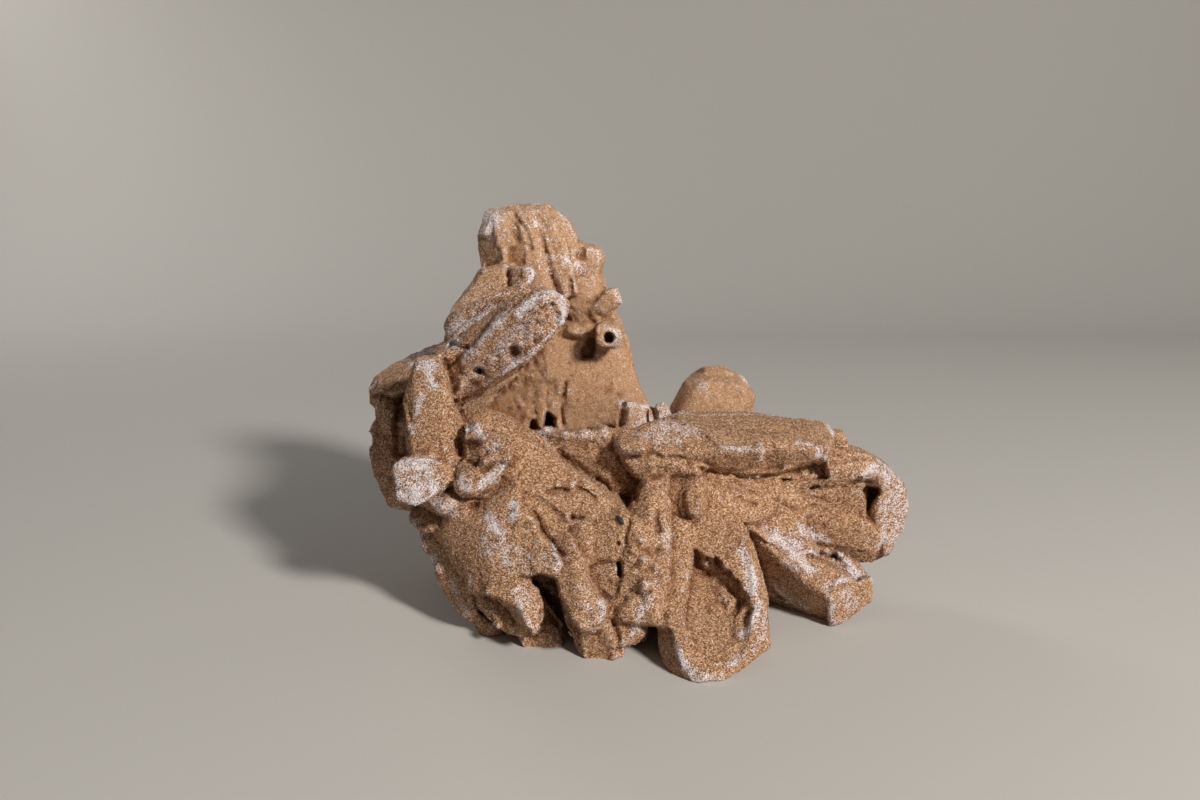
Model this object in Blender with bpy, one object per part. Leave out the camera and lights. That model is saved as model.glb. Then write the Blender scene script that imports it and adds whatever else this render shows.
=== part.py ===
"""Red selenite cluster: thick, sandy gypsum blades grown together into one stone.

The stone is a curled rosette. A tall peak stands at the back left, a shell of
finger-ended blades curves round the front left, and a fan of broad blades
spreads to the right and towards the viewer. It rests on the ends of a few
blades. Every crystal is a convex body, and all of them are joined into one
solid, which pits, slots and scoops are then cut from.

Sizes are in millimetres. +X is to the right, +Y is away from the front and +Z
is up. The crystals are placed round the middle of the front view, with the
tabletop at Z = 0, and MIDDLE then moves the finished stone so that it stands
over the origin.
"""

import random

import bmesh
import bpy
from mathutils import Matrix, Vector

MM = 0.001

NAME = "selenite_cluster"
SAND_COLOUR = (0.46, 0.25, 0.12, 1.0)
SAND_ROUGHNESS = 0.95

# A crystal's outline across its long axis: shares of half its width and thickness.
FLAT_SHARE = 0.66
EDGE_SHARE = 0.42
# How far a corner may stray from its outline, as a share of the crystal's thickness.
STRAY = 0.05

# A slab's two broad faces, as shares of its rim, and how far its front stands out
# from the rim, as a share of its depth.
FRONT_SHARE = 0.84
BACK_SHARE = 0.86
FRONT_STEP = 0.22

# The table cuts this much off the lowest blades, so that they stand on flat spots.
TABLE_CUT = 0.4
CUTTER_SIZE = 400.0
MIDDLE = Vector((8.35, -0.7, TABLE_CUT))


def clear_scene():
    for obj in list(bpy.data.objects):
        bpy.data.objects.remove(obj, do_unlink=True)


def new_collection(name, hidden=False):
    group = bpy.data.collections.new(name)
    bpy.context.scene.collection.children.link(group)
    group.hide_render = hidden
    return group


def sand_material():
    material = bpy.data.materials.new("sandy_gypsum")
    material.use_nodes = True
    shader = material.node_tree.nodes["Principled BSDF"]
    shader.inputs["Base Color"].default_value = SAND_COLOUR
    shader.inputs["Roughness"].default_value = SAND_ROUGHNESS
    shader.inputs["Metallic"].default_value = 0.0
    return material


def hull_object(group, name, points):
    """A closed convex body round the points, which are in millimetres."""
    bm = bmesh.new()
    for point in points:
        bm.verts.new((Vector(point) - MIDDLE) * MM)
    made = bmesh.ops.convex_hull(bm, input=bm.verts)
    spare = {v for v in made["geom_interior"] + made["geom_unused"] if isinstance(v, bmesh.types.BMVert)}
    bmesh.ops.delete(bm, geom=list(spare), context="VERTS")
    bmesh.ops.recalc_face_normals(bm, faces=bm.faces)
    mesh = bpy.data.meshes.new(name)
    bm.to_mesh(mesh)
    bm.free()
    obj = bpy.data.objects.new(name, mesh)
    group.objects.link(obj)
    obj.display_type = "WIRE"
    obj.hide_render = True
    return obj


def crystal(group, name, root, tip, width, thick, face, heel=0.7, toe=0.5, edge=EDGE_SHARE):
    """One blade from root to tip. face is where its broad side looks, and heel and
    toe are its widths at the two ends, as shares of its full width."""
    stray = random.Random(name)
    root, tip = Vector(root), Vector(tip)
    along = (tip - root).normalized()
    out = Vector(face)
    out = (out - along * out.dot(along)).normalized()
    across = along.cross(out)
    stations = (
        (0.00, heel, 0.75),
        (0.30, (1 + heel) / 2, 1.00),
        (0.66, 1.00, 1.00),
        (0.89, (1 + toe) / 2, 0.84),
        (1.00, toe, 0.50),
    )
    outline = [
        (side_w * w, side_t * t)
        for w, t in ((1.0, edge), (FLAT_SHARE, 1.0))
        for side_w in (1, -1)
        for side_t in (1, -1)
    ]
    points = []
    for share, wide, deep in stations:
        centre = root.lerp(tip, share)
        for w, t in outline:
            point = centre + across * (w * wide * width / 2) + out * (t * deep * thick / 2)
            points.append(point + Vector([stray.uniform(-STRAY, STRAY) * thick for _ in range(3)]))
    return hull_object(group, name, points)


def slab(group, name, rim, depth):
    """A flat crystal: the rim is its widest outline, and depth is the step from
    there to its back. Both broad faces are smaller than the rim."""
    depth = Vector(depth)
    rim = [Vector(point) for point in rim]
    centre = sum(rim, Vector()) / len(rim)
    front = [centre.lerp(point, FRONT_SHARE) - depth * FRONT_STEP for point in rim]
    waist = [point + depth * 0.55 for point in rim]
    back = [centre.lerp(point, BACK_SHARE) + depth for point in rim]
    return hull_object(group, name, rim + front + waist + back)


def block(group, name, corners):
    return hull_object(group, name, corners)


def prism(group, name, end, length):
    """A sharp-edged crystal: one end's corners, and the step to its other end."""
    return block(group, name, [Vector(corner) + Vector(length) * share for corner in end for share in (0, 1)])


def knob(group, name, centre, size, turn=0.0):
    """A rough rounded lump, or a pit when it is among the cutters. turn leans it in
    the front view, in radians, clockwise."""
    stray = random.Random(name)
    bm = bmesh.new()
    bmesh.ops.create_icosphere(bm, subdivisions=1, radius=1.0)
    half = Vector(size) / 2
    lean = Matrix.Rotation(turn, 3, "Y")
    points = [
        Vector(centre) + lean @ Vector([c * h * stray.uniform(0.84, 1.0) for c, h in zip(v.co, half)])
        for v in bm.verts
    ]
    bm.free()
    return hull_object(group, name, points)


def core(group):
    """The mass in the middle that the crystals grow from."""
    knob(group, "core_left", (-14, 2, 20), (52, 36, 36))
    knob(group, "core_right", (18, 4, 22), (56, 34, 34))
    knob(group, "core_back", (2, 18, 18), (44, 26, 34))
    knob(group, "core_low", (14, -8, 12), (46, 26, 20))


def peak(group):
    """The tall wall and the blades that climb to the peak at the back left."""
    slab(
        group,
        "wall",
        [(-24, 23, 76), (-12, 24, 82), (-2, 24, 80), (2, 24, 66), (14, 23, 36), (16, 21, 20), (8, 19, 6), (-22, 18, 8),
         (-38, 19, 26), (-38, 20, 50)],
        (0, 9, 0),
    )
    slab(
        group,
        "peak_block",
        [(-28.7, 17, 84), (-26.5, 18, 89.5), (-20, 18, 91), (-12, 18, 91), (-7, 19, 87), (-4, 20, 80), (-3, 20, 70),
         (-18, 15, 68), (-27, 16, 74)],
        (0, 13, -1),
    )
    crystal(group, "peak_rib_left", (-20, 13, 71), (-23, 15.5, 88), 5, 4, (0, -1, 0.1), heel=1.0, toe=0.8)
    crystal(group, "peak_rib_middle", (-13, 13.5, 70), (-17.5, 15.5, 89), 5, 4, (0, -1, 0.1), heel=1.0, toe=0.8)
    crystal(group, "peak_rib_right", (-7, 15, 70), (-12, 16, 88), 4.5, 4, (0, -1, 0.1), heel=1.0, toe=0.8)
    prism(
        group,
        "peak_cube",
        [(-21, 8, 76.5), (-15.5, 7.5, 77.5), (-14, 9, 75.5), (-14.5, 9, 72.5), (-20, 9, 71)],
        (1, 10, 0),
    )
    crystal(group, "knob_high", (-6, 24, 71), (-2.5, 21, 81), 9, 9, (0.2, -1, 0), heel=0.9, toe=0.65)
    crystal(group, "knob_low", (-9, 22, 69), (0.5, 20, 73), 8, 9, (0, -1, 0), heel=0.9, toe=0.65)
    crystal(group, "knob_finger", (-7, 20, 65), (4.5, 19, 70), 6, 6, (0, -1, 0.2), toe=0.6)
    crystal(group, "tube", (2, 22, 62), (2, 12, 60), 6, 6, (0, 0, 1), heel=1.0, toe=0.9, edge=0.6)
    crystal(group, "slope_outer", (-19, 14, 75), (-32, 10, 56), 15, 13, (-0.3, -0.9, 0.3), heel=0.9, toe=0.7)
    crystal(group, "slope_inner", (-15, 8, 71), (-28, 4, 56), 11, 12, (-0.2, -0.9, 0.35), heel=0.8, toe=0.8)
    crystal(group, "slope_root", (-18, 20, 66), (-34, 11, 48), 16, 18, (0, -1, 0.2), heel=0.9, toe=0.8)
    crystal(group, "arm", (-32, -4, 53.5), (-9, -17.5, 72.5), 12, 10.5, (0.05, -0.85, -0.5), heel=0.95, toe=0.65)
    crystal(group, "arm_second", (-15, -4, 71), (-33, 0, 63), 9, 11, (-0.2, -0.9, 0.3), heel=0.8, toe=0.7)
    crystal(group, "arm_third", (-26, 0, 52), (-34, -4, 61), 9, 10, (-0.5, -0.8, 0), heel=0.9, toe=0.8)
    crystal(group, "arm_root", (-30, 12, 50), (-33, -5, 51), 12, 14, (0, 0, 1), heel=0.9, toe=0.8)


def left_shell(group):
    """The curved wall of blades at the front left, with fingers along its lower edge."""
    crystal(group, "shoulder", (-28, 12, 55.5), (-51, 6, 46), 20, 12, (-0.45, -0.15, 0.88), heel=0.9, toe=0.75)
    crystal(group, "lobe", (-42, 8, 52), (-43.5, 5, 22), 16, 15, (-0.5, -0.85, 0), heel=0.85, toe=0.6)
    crystal(group, "lobe_low", (-28, 4, 34), (-42, 0, 23), 16, 14, (-0.4, -0.9, 0), toe=0.6)
    crystal(group, "left_fold", (-45, 4, 52), (-47, 0, 41), 5, 6, (-0.4, -0.9, 0), toe=0.7)
    crystal(group, "left_fold_small", (-41, 2, 49), (-43.5, -1.5, 41), 4.5, 5, (-0.4, -0.9, 0), toe=0.7)
    crystal(group, "thumb", (-34.5, -14, 34), (-35.5, -12, 60), 11, 10, (-0.1, -1, 0), heel=1.0, toe=0.55)
    slab(
        group,
        "shell_slab",
        [(-30, -10, 49), (-24, -11, 49), (-14, -13, 44), (-4, -17, 36), (9, -21, 26), (7, -26, 14), (-6, -27, 13),
         (-20, -24.5, 13), (-30, -17, 14), (-39, -9, 24), (-40, -8, 34), (-37, -10, 44)],
        (4, 10, -4),
    )
    crystal(group, "edge_plate", (-40, 0, 29), (-26, -16, 4), 10, 8, (-0.5, -0.85, 0), heel=0.8, toe=0.5)
    crystal(group, "finger_ledge", (-30, -10, 31), (-14.5, -26.5, 5), 17, 8, (-0.35, -1, 0.15), toe=0.35)
    crystal(group, "finger_nub", (-20, -11, 37), (-9.5, -28.5, 18), 9, 7, (-0.1, -1, 0.2), toe=0.7)
    crystal(group, "finger_long", (-11, -11, 37), (-2, -31.5, 7), 10, 8, (0, -1, 0.2), toe=0.75)
    crystal(group, "finger_right", (0, -16, 29), (5, -29.5, 3), 12, 9, (0.1, -1, 0.1), toe=0.7)
    crystal(group, "foot_left", (-24, -8, 16), (-22, -16, -1), 9, 9, (-0.2, -1, 0), toe=0.7)
    crystal(group, "foot_middle", (-16, -10, 18), (-11.5, -24, -1), 10, 10, (-0.2, -1, 0), toe=0.75)
    crystal(group, "foot_right", (-3, -16, 20), (0.5, -28.5, -1.5), 11, 10, (0, -1, 0), toe=0.75)
    prism(
        group,
        "block_crusted",
        [(-43, -19, 38), (-41, -19.5, 40), (-35, -20, 41), (-33.5, -20, 39.5), (-34, -21, 32), (-38, -21, 30),
         (-42.5, -20, 30.5)],
        (4, 10, 2),
    )
    crystal(group, "block_spur", (-36, -13, 35), (-31.5, -20, 29), 6, 5, (-0.2, -1, 0.2), toe=0.6)
    prism(
        group,
        "prism_upright",
        [(-28, -20, 47), (-25, -21, 48), (-22.5, -18.5, 46.5), (-24, -15, 47), (-27.5, -16, 47.5)],
        (0.5, 3, -11),
    )
    crystal(group, "prism_nub", (-25, -16, 38), (-28, -24, 34.5), 6.5, 6.5, (-0.2, 0, 1), toe=0.75)
    crystal(group, "prism_lower", (-25.5, -18, 33), (-22, -23, 41), 6, 6, (0.5, -1, 0), heel=0.8, toe=0.8)
    crystal(group, "prism_upper", (-24, -18, 39), (-20.5, -21, 45), 6, 5, (0.5, -1, 0), heel=0.9, toe=0.8)


def right_fan(group):
    """The broad blades that spread from the middle to the right and to the front."""
    slab(
        group,
        "fan_wedge",
        [(-13.5, -7, 43), (-7, -8, 43.5), (7, -8, 44), (12, -9, 41), (10, -11, 30), (6, -11, 26), (-2, -9, 32)],
        (2, 12, -5),
    )
    slab(
        group,
        "fan_top",
        [(3, -12, 41), (8, -7, 44), (17, 7, 44), (35, 9, 43.5), (53, 7, 41), (52, -2, 40), (48, -9.5, 39.5),
         (36, -12.5, 40), (24, -14, 40.5), (12, -14, 40)],
        (0, 1, -7),
    )
    crystal(group, "top_knob", (8, -6, 41), (6, -15.5, 40), 7.5, 6, (0, 0, 1), toe=0.7)
    crystal(group, "top_lip", (16, 0, 40), (17, -14.5, 37.5), 17, 8, (0, -0.3, 1), heel=0.9, toe=0.85)
    slab(
        group,
        "scallop_left",
        [(20, 0, 40.5), (36, 0, 40.5), (36.5, -12.5, 40), (34, -14.5, 40), (25, -15.5, 40), (22, -14, 40)],
        (0, 1.5, -6),
    )
    slab(
        group,
        "scallop_right",
        [(34, 0, 40.5), (50, 0, 39.5), (50.5, -8.5, 39), (46, -11.5, 38.5), (39, -13, 39), (36.5, -12, 39.5)],
        (0, 1.5, -6),
    )
    crystal(group, "rim_block", (7, 12, 26), (8, 15, 45), 7.5, 6, (0, -1, 0.2), heel=1.0, toe=0.9)
    crystal(group, "rim_chip", (17, 4, 37), (14, 12, 45), 3.5, 4, (0, -1, 0.2), heel=1.0, toe=0.7)
    slab(
        group,
        "stub",
        [(17, 18, 42), (21, 18, 49), (25, 18, 52), (30, 18, 52), (35, 18, 49.5), (37, 18, 46), (36, 17, 40), (32, 14, 28),
         (18, 14, 28)],
        (0, 11, 0),
    )
    slab(
        group,
        "fan_right",
        [(34, 3, 34), (50, 3, 37.5), (59, 3, 36), (65, 4, 33), (69, 5, 29), (70.5, 5, 24), (69.5, 5, 19), (66, 4, 11),
         (62, 4, 10), (52, 4, 13), (36, 4, 20)],
        (0, 11, 0),
    )
    crystal(group, "right_bump", (46, 3, 34), (56, 4, 38), 7, 9, (0, -1, 0.5), toe=0.6)
    crystal(group, "right_lip", (28, -2, 34), (61, 0, 33), 8, 9, (0, -0.8, 0.6), heel=0.9, toe=0.6)
    crystal(group, "right_belly", (28, -3, 26), (63, 0, 15), 12, 10, (0, -0.9, 0.45), heel=0.9, toe=0.7)
    slab(
        group,
        "right_rim",
        [(61, 0, 34.5), (65.5, 1, 32.5), (69.5, 2, 28.5), (70.5, 2, 24), (69.5, 2, 18.5), (66, 1, 11.5), (62, 0, 10.5)],
        (-2, 8, 0),
    )
    block(
        group,
        "fan_low_right",
        [(31, -8, 24), (40, 2, 25), (56, -1, 14), (60.5, -9, 9.5), (49, -16, 7.5), (35, -12.5, 19), (61, -8, 4),
         (51, -14.5, 0), (38, -8, 3), (30, -4, 12), (44, 2, 3), (57, -2, 4)],
    )
    slab(
        group,
        "fan_front",
        [(15, -11, 30), (27, -12, 28), (32, -18, 22), (34.5, -27, 13), (34, -35, 5), (27, -39, 1.5), (19.5, -41.5, -1),
         (13, -39, 1), (11.5, -34, 7), (14, -22, 19)],
        (0, 10, -2.5),
    )
    crystal(group, "front_ridge", (17, -8, 32), (15.5, -37, 3), 6, 6, (-0.1, -0.8, 0.6), heel=1.0, toe=0.6)
    crystal(group, "front_rim", (27, -9, 29), (32, -35, 5), 6, 6, (0.3, -0.8, 0.5), heel=0.8, toe=0.6)
    block(
        group,
        "fan_neck",
        [(13, -12, 35), (24, -11, 36), (38, -5, 34), (48, -1, 29), (40, -6, 24), (32, -12, 24), (27, -16, 26),
         (20, -17, 27), (13, -17, 28), (18, 6, 14), (44, 8, 16)],
    )
    crystal(group, "middle_edge", (12, -8, 36), (9.5, -25, 21), 6, 9, (0.1, -0.8, 0.6), heel=1.0, toe=0.7)
    crystal(group, "middle_blade", (11, -16, 30), (8, -32, 9), 11, 8, (0, -0.9, 0.4), toe=0.8)
    knob(group, "middle_knot_high", (7, -26, 24), (6, 6, 6))
    knob(group, "middle_knot_low", (10, -30, 15), (7, 6, 8))
    crystal(group, "hanging_finger", (20, -10, 34), (20, -18, 26.5), 5.5, 6, (0, -0.9, 0.3), toe=0.7)


def hidden_side(group):
    """Blades behind the stone, which the front view doesn't show."""
    crystal(group, "back_foot_left", (-10, 12, 20), (-36, 27, 3), 20, 13, (-0.2, 0.4, 0.9), toe=0.55)
    crystal(group, "back_foot_middle", (0, 16, 22), (-10, 37, 2), 22, 13, (0.1, 0.5, 0.85), toe=0.6)
    crystal(group, "back_foot_right", (14, 12, 20), (33, 33, 2), 21, 13, (0.3, 0.4, 0.9), toe=0.6)
    crystal(group, "back_blade_left", (-18, 24, 12), (-28, 27, 62), 20, 13, (-0.3, 1, 0.1), heel=0.9, toe=0.6)
    crystal(group, "back_blade_tall", (-8, 26, 10), (-14, 29, 80), 18, 13, (0, 1, 0.1), heel=0.9, toe=0.6)
    crystal(group, "back_blade_right", (5, 25, 12), (-1, 28, 66), 16, 12, (0.4, 1, 0.1), heel=0.9, toe=0.5)
    crystal(group, "back_blade_low", (6, 24, 16), (10, 36, 39), 16, 11, (0.3, 1, -0.2), heel=0.9, toe=0.6)
    crystal(group, "back_blade_short", (-16, 28, 14), (-22, 37, 42), 14, 10, (-0.1, 1, -0.2), heel=0.9, toe=0.6)
    crystal(group, "back_blade_side", (-26, 14, 24), (-46, 20, 42), 20, 11, (-0.4, 0.8, 0.5), heel=0.9, toe=0.6)
    crystal(group, "back_blade_notch", (8, 18, 20), (23, 35, 26), 15, 12, (-0.5, 0.6, 0.6), heel=0.9, toe=0.6)
    crystal(group, "back_blade_corner", (14, 12, 20), (41, 31, 18), 18, 14, (0.3, 0.5, 0.8), heel=0.9, toe=0.55)
    crystal(group, "back_fan_upper", (14, 12, 26), (44, 25, 31), 18, 11, (0, 0.7, 0.7), heel=0.9, toe=0.6)
    crystal(group, "back_fan_lower", (20, 8, 18), (50, 18, 8), 18, 12, (0.3, 0.8, 0.5), heel=0.9, toe=0.6)


def pits(group):
    """What is cut out of the grown-together crystals."""
    block(
        group,
        "front_scoop",
        [(20, -20.6, 18.2), (30.5, -29.2, 9.8), (18.5, -26, 25), (32.5, -34, 17), (16.5, -32, 10.5), (20, -38.5, 4),
         (27.5, -38.5, 4), (15, -38, 15), (20, -46, 9), (29, -45, 10)],
    )
    knob(group, "pocket_right", (60.5, -2, 27.5), (6, 14, 8), turn=0.3)
    knob(group, "notch_low_right", (46.5, -14.5, 17.5), (8, 7, 5), turn=0.3)
    knob(group, "tube_hole", (2.2, 11, 60), (2.8, 8, 2.8))
    knob(group, "tube_pocket", (-2, 10, 57.5), (4.5, 10, 4.5))
    knob(group, "slot", (-10.5, -27, 9.5), (4, 16, 17), turn=-0.35)
    knob(group, "ledge_recess", (-22, -20, 5), (7, 12, 7), turn=0.4)
    knob(group, "block_overhang", (-37, -17, 26.5), (10, 9, 4.5), turn=0.2)
    knob(group, "prism_gap", (-30, -20, 43), (3, 10, 6))
    knob(group, "left_recess", (-40.5, -1, 47), (4, 9, 12))
    knob(group, "wall_crack", (-12.5, 20, 42), (3, 10, 13))
    knob(group, "wall_hole", (-17, 19, 39), (3.5, 9, 4))
    knob(group, "peak_notch", (-19.5, 12, 80.5), (4, 5, 5))
    knob(group, "knob_hole", (-5, 16, 79), (2, 8, 3.5))
    knob(group, "arm_pit_low", (-25.5, -13, 56.5), (3.5, 5, 3.5))
    knob(group, "arm_pit_middle", (-18, -16.5, 61.5), (5, 5, 4), turn=-0.6)
    knob(group, "arm_pit_high", (-12, -20.5, 67.5), (6, 5, 4), turn=-0.6)


def joined(home, crystals, cutters):
    """One solid of every crystal, less the cutters. It goes into the collection home."""
    first = crystals.objects[0]
    stone = bpy.data.objects.new(NAME, first.data.copy())
    home.objects.link(stone)
    crystals.objects.unlink(first)
    for name, operation, operands in (("grown_together", "UNION", crystals), ("cut", "DIFFERENCE", cutters)):
        step = stone.modifiers.new(name, "BOOLEAN")
        step.operation = operation
        step.operand_type = "COLLECTION"
        step.collection = operands
    return stone


def table(group):
    half = CUTTER_SIZE / 2
    corners = [(x, y, z) for x in (-half, half) for y in (-half, half) for z in (-CUTTER_SIZE, TABLE_CUT)]
    block(group, "table", corners)


def main():
    clear_scene()
    home = new_collection("red_selenite_cluster")
    crystals = new_collection("crystals", hidden=True)
    cutters = new_collection("cutters", hidden=True)
    core(crystals)
    peak(crystals)
    left_shell(crystals)
    right_fan(crystals)
    hidden_side(crystals)
    pits(cutters)
    table(cutters)
    stone = joined(home, crystals, cutters)
    stone.data.materials.append(sand_material())


main()
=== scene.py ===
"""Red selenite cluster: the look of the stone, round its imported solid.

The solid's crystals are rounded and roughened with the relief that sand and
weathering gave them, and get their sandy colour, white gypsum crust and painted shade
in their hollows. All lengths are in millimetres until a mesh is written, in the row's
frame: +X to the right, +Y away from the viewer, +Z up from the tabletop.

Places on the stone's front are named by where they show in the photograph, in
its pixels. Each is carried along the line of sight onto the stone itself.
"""

import math

import bpy
import numpy as np
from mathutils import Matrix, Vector
from mathutils.bvhtree import BVHTree


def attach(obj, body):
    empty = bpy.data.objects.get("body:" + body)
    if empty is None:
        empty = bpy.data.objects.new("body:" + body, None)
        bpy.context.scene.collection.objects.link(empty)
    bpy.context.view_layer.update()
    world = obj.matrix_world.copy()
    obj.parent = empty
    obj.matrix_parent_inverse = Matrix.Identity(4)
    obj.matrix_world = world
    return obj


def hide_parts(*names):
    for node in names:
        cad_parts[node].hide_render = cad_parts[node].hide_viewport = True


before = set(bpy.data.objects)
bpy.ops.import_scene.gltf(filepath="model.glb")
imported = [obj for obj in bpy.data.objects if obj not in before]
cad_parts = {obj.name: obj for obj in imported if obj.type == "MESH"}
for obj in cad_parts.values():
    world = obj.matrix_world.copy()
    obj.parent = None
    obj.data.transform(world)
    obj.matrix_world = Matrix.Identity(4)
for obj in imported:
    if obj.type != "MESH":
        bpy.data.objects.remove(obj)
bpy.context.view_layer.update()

MM = 0.001
NODE = "selenite_cluster"
BODY = "root"

# The photograph's camera. The horizon shows this many pixels above the middle of the frame.
PHOTO_SIZE = (1200.0, 800.0)
FOCAL_PIXELS = 1100.0
HORIZON_PIXELS = 218.0
SENSOR_WIDTH = 36.0
CLIP_START = 0.01
EYE = np.array([-8.35, -239.3, 95.6])
PITCH = math.atan(HORIZON_PIXELS / FOCAL_PIXELS)
PIXELS_PER_MM = 4.7

# How finely the stone is made, and in how many pieces.
VOXEL = 0.34
PIECES = 3
MOST_TRIANGLES = 194000

# Loose grains: how many to a piece, less those at the table, their radius, how uneven they are,
# how far a grain's middle is above the surface as a share of its radius, and how far above the
# table the lowest may reach.
GRAIN_PIECES = 2
GRAINS = 48000
GRAIN_RADIUS = (0.11, 0.20)
GRAIN_STRETCH = (0.75, 1.25)
GRAIN_RISE = 0.25
GRAIN_LOWEST = 0.05
GRAIN_SEED = 7

# A dark seed that lies on the shell: where it shows, the way it points, its half lengths, and
# how far its middle is above the surface.
SEED_PLACE = (620, 520)
SEED_TIP = (625, 526)
SEED_HALF = (1.2, 0.52, 0.45)
SEED_RISE = 0.2
SEED_RINGS = 7
SEED_SIDES = 12

# How far a form may be cut from the depth of what shows at its outline.
REACH = 12.0
# A point is seen if it is less than this behind the first surface on its line of sight.
SEEN = 1.2
# Up to how far behind the seen surface the stone moves with it, and from where it stays. A
# point whose share in its moves is smaller than the last number isn't looked at.
THIN = (5.0, 10.0)
LEAST_THIN = 0.02
# The forms' outlines waver: by how many pixels, over what size, and the seed of the noise.
WAVER = ((1.3, 1.3, 43), (1.0, 6.0, 47))
# How far apart a pale streak's points are, in pixels, and how far from their middle depth they
# may lie, in millimetres.
STREAK_STEP = 1.5
STREAK_DEPTH = 14

# The studio, in metres: the point that the lamps light and how far off they are, and the floor's
# reach to the front and back, its bend and height behind, and its half width.
LIT_POINT = (0, 0, 0.035)
LAMP_DISTANCE = 0.95
FLOOR_FRONT = -2.0
FLOOR_DEPTH = 0.75
FLOOR_BEND = 0.3
FLOOR_HEIGHT = 0.9
FLOOR_HALF = 2.0
BEND_STEPS = 12

# Where crystals melt into one sandy face: outline, and how many times it is smoothed.
MELTED = {
    "shell face": (
        ((512, 425), (534, 436), (580, 476), (620, 510), (612, 560), (594, 590), (578, 560), (562, 528),
         (548, 545), (530, 575), (500, 588), (470, 583), (450, 550), (440, 528), (462, 518), (482, 502),
         (508, 496), (516, 470)), 80),
    "thumb face": (((418, 372), (440, 374), (456, 410), (456, 450), (440, 456), (416, 450)), 20),
    "front blade face": (
        ((700, 530), (735, 540), (752, 600), (745, 650), (704, 664), (690, 640), (690, 570)), 60),
    "right blades": (
        ((700, 478), (790, 480), (850, 500), (850, 520), (800, 520), (745, 505), (704, 492)), 25),
    "middle blade": (((640, 480), (664, 478), (672, 540), (664, 600), (630, 600), (626, 540)), 40),
    "fan wedge": (((545, 440), (605, 440), (612, 480), (590, 470)), 40),
    "below the knobs": (((560, 306), (602, 306), (604, 322), (590, 340), (566, 340)), 120),
    "scoop's right wall": (((722, 600), (752, 606), (750, 650), (722, 656)), 60),
    "low block's corner": (((806, 596), (836, 600), (842, 640), (800, 640)), 90),
    "low block's low edge": (((752, 606), (830, 612), (830, 650), (752, 650)), 70),
    "wall crack": (((543, 378), (554, 378), (555, 404), (543, 406)), 60),
}

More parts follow.
